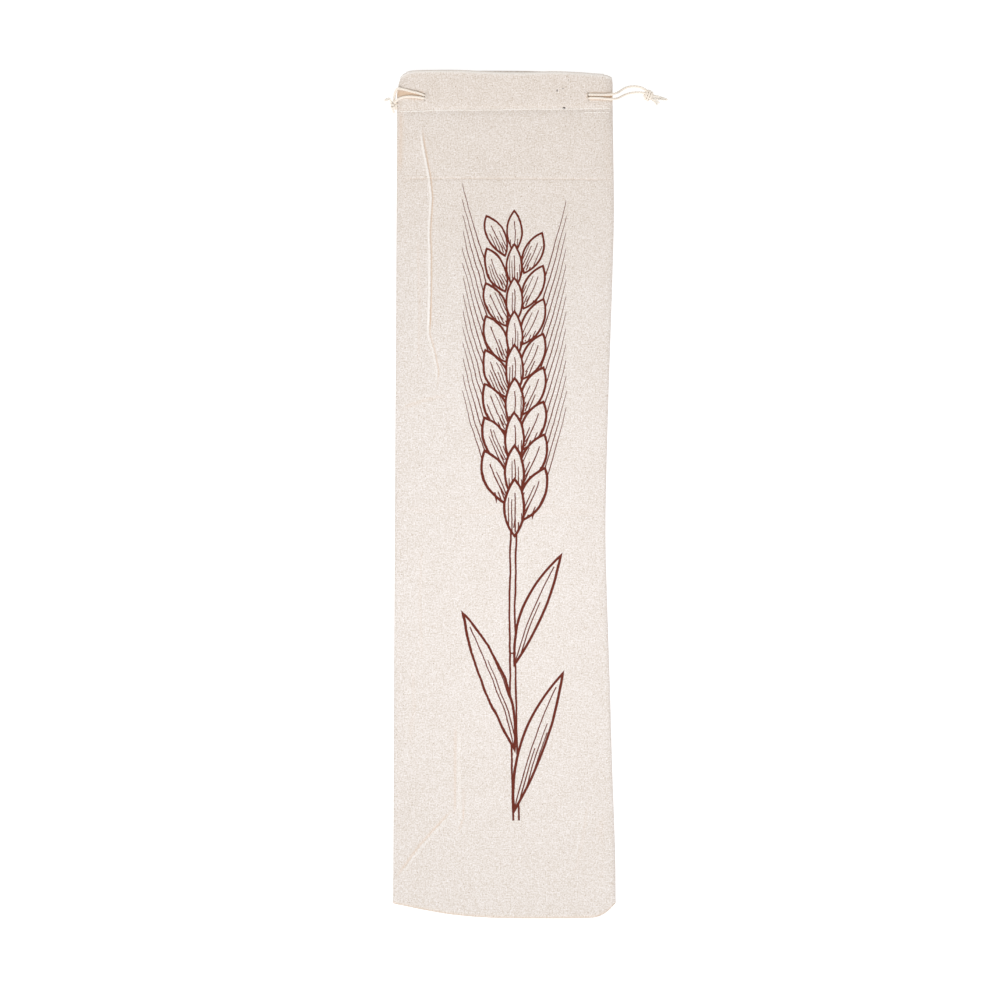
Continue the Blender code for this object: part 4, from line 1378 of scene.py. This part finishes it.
# %% Both grids
mirrored_edge = tuple(-step for step in reversed(NEAR_EDGE))
front_rules = column_rules((NEAR_EDGE, BESIDE_CREASE, BESIDE_SLIT, mirrored_edge), (12, 72, 1))
front_rows = [
    *NEAR_EDGE,
    *np.arange(10.5, 138.0, 1.5),
    *np.arange(138.0, 381.0, 3.0),
    *np.arange(381.0, 555.0, 2.0),
    *np.arange(555.0, 564.0, 0.5),  # finer where the bag was folded across
    *np.arange(564.0, 590.0, 2.0),
    *np.arange(590.0, 636.5, 1.0),
]
front_x, front_y = panel_grid(front_rules, front_guides, front_rows, FRONT_TOP)
back_rules = column_rules((NEAR_EDGE, mirrored_edge), (48,))
back_rows = [
    *NEAR_EDGE,
    *np.arange(12.0, 600.0, 4.0),
    *np.arange(602.0, 618.0, 0.7),  # finer where the stitches pull it up
    *np.arange(618.5, 636.5, 2.0),
]
back_x, back_y = panel_grid(back_rules, panel_edges, back_rows, BACK_TOP)
print("front panel", front_x.shape[0], "rows of", front_x.shape[1], "columns")
print("back panel", back_x.shape[0], "rows of", back_x.shape[1], "columns")

# %% Slits
SLIT_HALF = 3.0
LIP_UP, LIP_DOWN = 1.5, 1.7
LIP_UP_REACH, LIP_DOWN_REACH = 3.2, 3.0  # across the slit
LIP_FULL, LIP_FADE = 1.6, 2.0  # along it, either way from its middle
LIP_LEAST = 0.001


def slit_lips(x, y, side):
    """How far the cloth beside a slit is pushed up by the cord in it, or down by the cord on it."""
    outward = (x - SLIT_X[side]) * math.copysign(1.0, SLIT_X[side])
    over_cord = 1 - eased((np.abs(y - SLIT_Y[side]) - LIP_FULL) / LIP_FADE)
    up = LIP_UP * (1 - eased(-outward / LIP_UP_REACH))
    down = -LIP_DOWN * (1 - eased(outward / LIP_DOWN_REACH))
    return up * over_cord, down * over_cord, outward


def column_of(rules, guide, step):
    """The column that runs along a guide."""
    found = (rules[:, guide] == 1.0) & (rules[:, -1] == step)
    return int(np.flatnonzero(found)[0])


SLIT_COLUMN = {"left": column_of(front_rules, 1, 0.0), "right": column_of(front_rules, 2, 0.0)}
print("slits run up columns", SLIT_COLUMN)

# %% Sheets of cloth
class Sheet:
    """Collects the points, flat pattern and quads of one panel."""

    def __init__(self):
        self.points, self.places, self.faces = [], [], []

    def row(self, x, y, z, across, upward):
        """Adds a row of points and returns their numbers."""
        first = len(self.points)
        self.points += [tuple(point) for point in np.stack([x, y, z], axis=1) * MM]
        self.places += [tuple(place) for place in np.stack([across, upward], axis=1) * MM]
        return list(range(first, len(self.points)))

    def join(self, upper, lower):
        """Fills the gap between two rows with quads."""
        for k in range(1, len(upper)):
            self.faces.append((upper[k - 1], upper[k], lower[k], lower[k - 1]))

    def lift(self, number, by):
        """Raises one point by some millimetres."""
        x, y, z = self.points[number]
        self.points[number] = (x, y, z + by * MM)

    def twin(self, number):
        """Adds a second point at the place of another, and returns its number."""
        self.points.append(self.points[number])
        self.places.append(self.places[number])
        return len(self.points) - 1


def flat_across(x, z):
    """Distance along each row on the flat cloth, measured from the middle of the bag."""
    steps = np.hypot(np.diff(x, axis=1), np.diff(z, axis=1))
    passed = np.concatenate([np.zeros((len(x), 1)), np.cumsum(steps, axis=1)], axis=1)
    middle = [np.interp(0.0, row, run) for row, run in zip(x, passed)]
    return passed - np.array(middle)[:, None]


def cut_slit(sheet, rows, left_of, grid, slit):
    """Bends the lips of a slit, and doubles the points of its column: one for each lip."""
    x, y = grid
    column = SLIT_COLUMN[slit]
    up, down, outward = slit_lips(x, y, slit)
    for r, c in zip(*np.nonzero(np.maximum(up, -down) > LIP_LEAST)):
        if c != column:
            sheet.lift(rows[r][c], up[r, c] if outward[r, c] < 0 else down[r, c])
    left_lip, right_lip = (up, down) if SLIT_X[slit] > 0 else (down, up)
    for r in np.flatnonzero(np.abs(y[:, column] - SLIT_Y[slit]) < SLIT_HALF):
        left_of[r][column] = sheet.twin(rows[r][column])
        sheet.lift(left_of[r][column], left_lip[r, column])
        sheet.lift(rows[r][column], right_lip[r, column])


print(f"slits {2 * SLIT_HALF:.0f} mm long, their lips bent by up to {LIP_DOWN} mm")

# %% Mouth and hem
FOLD_STEPS, SMALLEST_FOLD = 10, 0.15
HEM_ROWS = (18, 14, 10, 7, 5.5, 4.2, 3.5, 2.8, 2.1, 1.4, 0.8, 0.2, -1.0, -2.5)  # above the stitches


def hem_step(x, y):
    """How far the hem lies from its panel: apart over the cord, together at the stitches."""
    opened = eased((y - stitch_y(x)) / CHANNEL_OPENS)
    return CLOTH + GAP + (CASING_STEP - CLOTH - GAP) * opened


def first_and_last(wanted):
    """The first and last columns at which something holds."""
    found = np.flatnonzero(wanted)
    return int(found[0]), int(found[-1])


def fold_mouth(sheet, top_row, mouth, height, detail, side):
    """Takes the cloth over the mouth's fold; returns its columns, and the fold's last row."""
    x, y, across = mouth
    first, last = first_and_last(fold_radius(x) > SMALLEST_FOLD)
    x, y, across = (row[first : last + 1] for row in mouth)
    radius, before = fold_radius(x), top_row[first : last + 1]
    for step in range(1, FOLD_STEPS + 1):
        turn = math.pi * step / FOLD_STEPS
        level = height(x, y) + detail(x, y) * (1 - step / FOLD_STEPS)
        at_z = level - side * radius * (1 - math.cos(turn))
        folded = sheet.row(x, y + radius * math.sin(turn), at_z, across, y + radius * turn)
        sheet.join(before, folded)
        before = folded
    return first, last, before


def add_hem(sheet, fold_row, mouth, height, side):
    """The hem, from the fold down inside to below the stitches."""
    kept_first, kept_last = first_and_last((mouth[0] >= HEM_LEFT) & (mouth[0] <= HEM_RIGHT))
    x, top, across = (row[kept_first : kept_last + 1] for row in mouth)
    before = fold_row[kept_first : kept_last + 1]
    for above in HEM_ROWS:
        y = stitch_y(x) + above
        at_z = height(x, y) - side * hem_step(x, y)
        hem = sheet.row(x, y, at_z, across, top + FOLD_RADIUS * math.pi + (top - y))
        sheet.join(before, hem)
        before = hem


print("hem", HEM_ROWS[0] - HEM_ROWS[-1], "mm deep below the fold, in", len(HEM_ROWS), "rows")

# %% Panel meshes
THIN_CLOTH = 0.6
SEAM_CLEARANCE = 0.03
SKIRT_STRETCH = 1.002  # on the flat pattern, where the skirt would else have no width


def outer_ring(rows, first, last):
    """The panel's edge points in order, from the hem round by the left side and the bottom."""
    ring = list(reversed(rows[-1][: first + 1]))
    ring += [row[0] for row in reversed(rows[:-1])]
    ring += list(rows[0][1:])
    ring += [row[-1] for row in rows[1:]]
    return ring + list(reversed(rows[-1][last:-1]))


def add_skirt(sheet, ring, side):
    """A short upright strip round the panel's edge, down or up to the seam."""
    points = np.array([sheet.points[number] for number in ring]) / MM
    places = np.array([sheet.places[number] for number in ring]) / MM * SKIRT_STRETCH
    seam = along(HEIGHTS, SEAM, points[:, 1]) + side * SEAM_CLEARANCE
    skirt = sheet.row(points[:, 0], points[:, 1], seam, places[:, 0], places[:, 1])
    sheet.join(ring, skirt)


def build_panel(name, grid, height, detail, side, slits, material):
    """One panel: its outer layer, a short skirt to the seam, and the mouth folded in as a hem.

    side is 1 for the front panel, whose hem lies under it, and -1 for the back panel.
    """
    x, y = grid
    z = height(x, y) + detail(x, y)
    across = flat_across(x, z)
    sheet = Sheet()
    rows = [sheet.row(*row) for row in zip(x, y, z, across, y)]
    left_of = [list(row) for row in rows]
    for slit in slits:
        cut_slit(sheet, rows, left_of, grid, slit)
    for r in range(len(rows) - 1):
        for c in range(len(rows[r]) - 1):
            sheet.faces.append((rows[r][c], left_of[r][c + 1], left_of[r + 1][c + 1], rows[r + 1][c]))
    mouth = x[-1], y[-1], across[-1]
    first, last, fold_row = fold_mouth(sheet, rows[-1], mouth, height, detail, side)
    add_hem(sheet, fold_row, [row[first : last + 1] for row in mouth], height, side)
    add_skirt(sheet, outer_ring(rows, first, last), side)

    middle = len(rows) // 2 * (len(rows[0]) - 1) + len(rows[0]) // 2
    panel = finish_piece(name, sheet.points, sheet.faces, sheet.places, material, (middle, side))
    thicken = panel.modifiers.new("Cloth thickness", "SOLIDIFY")
    thicken.thickness = THIN_CLOTH * MM
    thicken.offset = (CLOTH / 2 - THIN_CLOTH / 2) / (THIN_CLOTH / 2)
    thicken.use_quality_normals = True
    return panel


front_cloth = build_panel(
    "front_cloth", (front_x, front_y), front_height, relief, 1, ("left", "right"), linen_front
)
back_cloth = build_panel("back_cloth", (back_x, back_y), back_height, back_groove, -1, (), linen_back)
for panel in (front_cloth, back_cloth):
    print(panel.name, "has", len(panel.data.polygons), "quads before its thickness")

# %% Painted shade and highlight along creases, cords and edges
CORD_SHADOWS = (  # painted shadow of the cords on the cloth between their strands
    ((65.2, 299.9), (81.5, 299.9)),
    ((-62.6, 300.4), (-81.5, 302.4)),
)
CORD_SHADOW_DEPTH, CORD_SHADOW_REACH, CORD_SHADOW_SQUARENESS = 0.95, 2.9, 4
BOTTOM_SHADE, BOTTOM_AT, BOTTOM_REACH = 0.45, 0.6, 1.1  # painted shade along the bottom edge: how much, how far in, how wide
# painted highlight along the mouth's folded edge
MOUTH_HIGHLIGHT, MOUTH_AT, MOUTH_REACH = -0.9, 1.5, 0.9

places = np.zeros(3 * len(front_cloth.data.vertices), np.float32)
front_cloth.data.vertices.foreach_get("co", places)
places = places.reshape(-1, 3).astype(float) / MM
x, y = places[:, 0], places[:, 1]
wear_and_painted_light = crease_wear(x, y)
for path in CORD_SHADOWS:
    from_cord = nearest_on(path, x, y)[0]
    wear_and_painted_light += CORD_SHADOW_DEPTH * np.exp(-((from_cord / CORD_SHADOW_REACH) ** CORD_SHADOW_SQUARENESS))
from_mouth = along(ENDS, FRONT_TOP, share_across(x, y)) - y
from_bottom = y - along(ENDS, BOTTOM, share_across(x, y))
at_mouth = MOUTH_HIGHLIGHT * bell(from_mouth - MOUTH_AT, MOUTH_REACH)
wear_and_painted_light += BOTTOM_SHADE * bell(from_bottom - BOTTOM_AT, BOTTOM_REACH) + at_mouth
front_cloth.data.attributes.new(PAINTED_LIGHT_ATTRIBUTE, "FLOAT", "POINT").data.foreach_set("value", wear_and_painted_light)
print(f"{np.mean(np.abs(wear_and_painted_light) > 0.1):.1%} of the front panel's points are worn")

# %% [markdown]
# ## Stitches
#
# A line of machine stitches holds each casing's hem, and at the right end a few more go back over
# it to lock the thread. A stitch is the same small arc of thread again and again along a line on the
# cloth, which is work for Geometry Nodes: the line is resampled at the stitch pitch, and an arc
# stands at each point, turned along the line and square to the cloth.

# %% Lines on the cloth
OFF_CLOTH = "off_cloth"  # the attribute that holds each point's direction off the cloth
SEAM_WAVER = ((0.22, 9.0), (0.12, 3.1))  # size and length of the waves in a sewn line


def outer_front(x, y):
    return front_height(x, y) + relief(x, y) + CLOTH / 2


def outer_back(x, y):
    return back_height(x, y) + back_groove(x, y) - CLOTH / 2


def line_on_cloth(surface, xs, ys, up):
    """Points of a line on a cloth surface, and the direction that leaves the cloth at each."""
    slope_x, slope_y = slopes(surface, xs, ys, 0.3)
    off_cloth = unit(np.stack([-slope_x, -slope_y, np.ones(len(xs))], axis=1)) * up
    return np.stack([xs, ys, surface(xs, ys)], axis=1), off_cloth


def seam_run(start, end, lower):
    """Places along the casing's stitches, or a bit lower, from one x to another."""
    xs = np.arange(start, end, 0.5)
    ys = stitch_y(xs) - lower
    for size, length in SEAM_WAVER:
        ys = ys + size * np.sin(xs / length)
    return xs, ys


SEWN = (  # surface, x from and to, how much lower, 1 where the thread lies on top or -1 below
    (outer_front, -77.6, 78.6, 0.0, 1.0),
    (outer_front, 62.0, 78.4, 3.1, 1.0),
    (outer_back, -77.0, 78.0, 0.0, -1.0),
)
stitch_lines = [
    line_on_cloth(surface, *seam_run(start, end, lower), up)
    for surface, start, end, lower, up in SEWN
]
line_mesh = bpy.data.meshes.new("casing_stitches")
line_points, line_edges, directions = [], [], []
for points, off_cloth in stitch_lines:
    first = len(line_points)
    line_points += [tuple(point) for point in points * MM]
    line_edges += [(k, k + 1) for k in range(first, first + len(points) - 1)]
    directions += [value for row in off_cloth for value in row]
line_mesh.from_pydata(line_points, line_edges, [])
line_mesh.attributes.new(OFF_CLOTH, "FLOAT_VECTOR", "POINT").data.foreach_set("vector", directions)
stitches = add_object("casing_stitches", line_mesh)
print(len(stitch_lines), "lines of stitches,", len(line_points), "points")

# %% A group with named inputs
STITCH_INPUTS = {
    "Pitch": "NodeSocketFloat",
    "Length": "NodeSocketFloat",
    "Thread width": "NodeSocketFloat",
    "Rise": "NodeSocketFloat",
    "Seed": "NodeSocketInt",
    "Thread": "NodeSocketMaterial",
}


def new_group(name, inputs):
    """A Geometry Nodes group with named inputs; returns it and each input's identifier."""
    group = bpy.data.node_groups.new(name, "GeometryNodeTree")
    group.interface.new_socket("Geometry", in_out="INPUT", socket_type="NodeSocketGeometry")
    group.interface.new_socket("Geometry", in_out="OUTPUT", socket_type="NodeSocketGeometry")
    identifiers = {}
    for label, kind in inputs.items():
        made = group.interface.new_socket(label, in_out="INPUT", socket_type=kind)
        identifiers[label] = made.identifier
    return group, identifiers


def add_result(group, kind, settings=None, values=None):
    """The first output of a new node."""
    return add_node(group, kind, settings, values).outputs[0]


def times(group, socket, factor):
    """A socket's value multiplied by a number."""
    return add_result(group, "ShaderNodeMath", {"operation": "MULTIPLY"}, {0: socket, 1: factor})


stitch_group, stitch_inputs = new_group("Stitches along a line", STITCH_INPUTS)
print("the group asks for", ", ".join(stitch_inputs).lower())

# %% Stitch nodes
ARC_STEPS, THREAD_SIDES = 7, 6
ARC_TOP, ARC_FOOT = 2.4, -0.8  # of the rise: the curve's middle handle, and its ends in the cloth
STITCH_TURN = 0.10  # each stitch is turned a little by chance


def thread_arc(group, given):
    """One stitch: a short arc of thread with closed ends."""
    half = times(group, given["Length"], 0.5)
    back = times(group, half, -1.0)
    sunk = times(group, given["Rise"], ARC_FOOT)
    tall = times(group, given["Rise"], ARC_TOP)
    arc_values = {
        "Resolution": ARC_STEPS,
        "Start": add_result(group, "ShaderNodeCombineXYZ", values={0: back, 2: sunk}),
        "Middle": add_result(group, "ShaderNodeCombineXYZ", values={2: tall}),
        "End": add_result(group, "ShaderNodeCombineXYZ", values={0: half, 2: sunk}),
    }
    arc = add_result(group, "GeometryNodeCurveQuadraticBezier", values=arc_values)
    ring_values = {"Resolution": THREAD_SIDES, "Radius": times(group, given["Thread width"], 0.5)}
    ring = add_result(group, "GeometryNodeCurvePrimitiveCircle", values=ring_values)
    tube_values = {"Curve": arc, "Profile Curve": ring, "Fill Caps": True}
    return add_result(group, "GeometryNodeCurveToMesh", values=tube_values)


def stitch_turn(group, given):
    """How each stitch is turned: square to the cloth, and along the line but for a little chance."""
    least, most = (0.0, -STITCH_TURN, 0.0), (0.0, STITCH_TURN, 0.0)
    vectors = {"data_type": "FLOAT_VECTOR"}
    yaw_values = {0: least, 1: most, "Seed": given["Seed"]}
    yaw = add_result(group, "FunctionNodeRandomValue", vectors, yaw_values)
    ahead = add_result(group, "GeometryNodeInputTangent")
    jitter = add_result(group, "ShaderNodeVectorMath", {"operation": "ADD"}, {0: ahead, 1: yaw})
    off_cloth = add_result(group, "GeometryNodeInputNamedAttribute", vectors, {"Name": OFF_CLOTH})
    align = "FunctionNodeAlignRotationToVector"
    square = add_result(group, align, {"axis": "Z"}, {"Vector": off_cloth})
    settings = {"axis": "X", "pivot_axis": "Z"}
    return add_result(group, align, settings, {"Rotation": square, "Vector": jitter})


def add_stitch_nodes(group):
    """Fills the group: points at the pitch, an arc at each, made real and given its thread."""
    given = add_node(group, "NodeGroupInput").outputs
    line = add_result(group, "GeometryNodeMeshToCurve", values={"Mesh": given["Geometry"]})
    spacing = {"Curve": line, "Length": given["Pitch"]}
    standing = {
        "Points": add_result(group, "GeometryNodeResampleCurve", {"mode": "LENGTH"}, spacing),
        "Instance": thread_arc(group, given),
        "Rotation": stitch_turn(group, given),
    }
    row = add_result(group, "GeometryNodeInstanceOnPoints", values=standing)
    real = add_result(group, "GeometryNodeRealizeInstances", values={"Geometry": row})
    made_of = {"Geometry": real, "Material": given["Thread"]}
    dressed = add_result(group, "GeometryNodeSetMaterial", values=made_of)
    add_node(group, "NodeGroupOutput", values={0: dressed})


add_stitch_nodes(stitch_group)
print("the stitch group has", len(stitch_group.nodes), "nodes")

# %% Sewing
STITCH_PITCH, STITCH_LENGTH, THREAD_WIDTH, STITCH_RISE = 2.9, 2.65, 0.54, 0.28
STITCH_SEED = 7


def made_plain(piece, group, identifiers, values):
    """Runs a node group on an object and keeps the result as its plain mesh."""
    modifier = piece.modifiers.new(group.name, "NODES")
    modifier.node_group = group
    for label, value in values.items():
        modifier[identifiers[label]] = value
    ready = piece.evaluated_get(bpy.context.evaluated_depsgraph_get())
    result = bpy.data.meshes.new_from_object(ready)
    piece.modifiers.remove(modifier)
    piece.data = result
    result.shade_smooth()


stitch_values = {
    "Pitch": STITCH_PITCH * MM,
    "Length": STITCH_LENGTH * MM,
    "Thread width": THREAD_WIDTH * MM,
    "Rise": STITCH_RISE * MM,
    "Seed": STITCH_SEED,
    "Thread": thread_cotton,
}
made_plain(stitches, stitch_group, stitch_inputs, stitch_values)
print("stitches have", len(stitches.data.polygons), "faces")

# %% [markdown]
# ## Floor and light
#
# A pale seamless floor under an even white surround. A broad lamp at the lower left makes creases
# and cords throw their soft shade upwards and to the right. A small lamp over the middle makes the
# bag a little brighter there than at its ends.

# %% Floor
FLOOR_REACH, FLOOR_Z = 3.0, -0.0002  # in metres, a little under the bag
CORNERS = ((-1, -1), (1, -1), (1, 1), (-1, 1))

floor_corners = [(x * FLOOR_REACH, y * FLOOR_REACH, FLOOR_Z) for x, y in CORNERS]
floor_mesh = bpy.data.meshes.new("floor")
floor_mesh.from_pydata(floor_corners, [], [(0, 1, 2, 3)])
floor = add_object("floor", floor_mesh)
floor_shader = Shader("pale floor")
floor_mesh.materials.append(
    floor_shader.surface(
        Base_Color=(0.30, 0.30, 0.30, 1.0),
        Roughness=0.9,
        Emission_Color=(1.0, 1.0, 1.0, 1.0),
        Emission_Strength=0.84,
    )
)
print(f"floor {2 * FLOOR_REACH:.0f} m wide")

# %% Light
SUN, SURROUND, OVERHEAD = 1.50, 0.585, 0.78
SUN_WIDTH = math.radians(22)
SUN_SHINES = (0.26, 0.45, -1.0)
OVERHEAD_SIZE, OVERHEAD_PLACE = 0.35, (0.04, -0.08, 0.45)

sun_data = bpy.data.lights.new("Broad lamp", "SUN")
sun_data.energy = SUN
sun_data.angle = SUN_WIDTH
sun_data.color = (0.97, 1.0, 1.03)
sun = add_object("Broad lamp", sun_data)
sun.rotation_euler = Vector(SUN_SHINES).to_track_quat("-Z", "Y").to_euler()

overhead_data = bpy.data.lights.new("Overhead lamp", "AREA")
overhead_data.shape = "RECTANGLE"
overhead_data.size, overhead_data.size_y = OVERHEAD_SIZE, OVERHEAD_SIZE
overhead_data.energy = OVERHEAD
overhead_data.color = (0.98, 1.0, 1.08)
overhead = add_object("Overhead lamp", overhead_data)
overhead.location = OVERHEAD_PLACE
overhead.visible_camera = False

world = bpy.data.worlds.new("White surround")
world.use_nodes = True
background = world.node_tree.nodes["Background"]
background.inputs["Color"].default_value = (1.0, 0.955, 0.895, 1.0)
background.inputs["Strength"].default_value = SURROUND
bpy.context.scene.world = world
bpy.context.scene.view_settings.view_transform = "Standard"
print("broad lamp", SUN, "surround", SURROUND, "overhead", OVERHEAD, "W")

# %% [markdown]
# ## Attaching the pieces
#
# Every piece rides on the bag's one body, and each but the stitches takes the place of a node of the
# solid model, which is hidden.

for side in ("right", "left"):
    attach(cords[side], "root")
    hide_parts(side + "_drawstring")
    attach(knots[side], "root")
    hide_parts(side + "_knot")
    for tail in tails[side]:
        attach(tail, "root")
        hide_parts(tail.name.replace("_frayed", ""))
    path = spaced(cord_lines[side], 1.5) * MM
    line_length(cord_lines[side]) * MM
    [tuple(point) for point in path]

for panel, node, slot in (
    (front_cloth, "front_panel", "linen_front"),
    (back_cloth, "back_panel", "linen_back"),
):
    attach(panel, "root")
    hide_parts(node)
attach(stitches, "root")
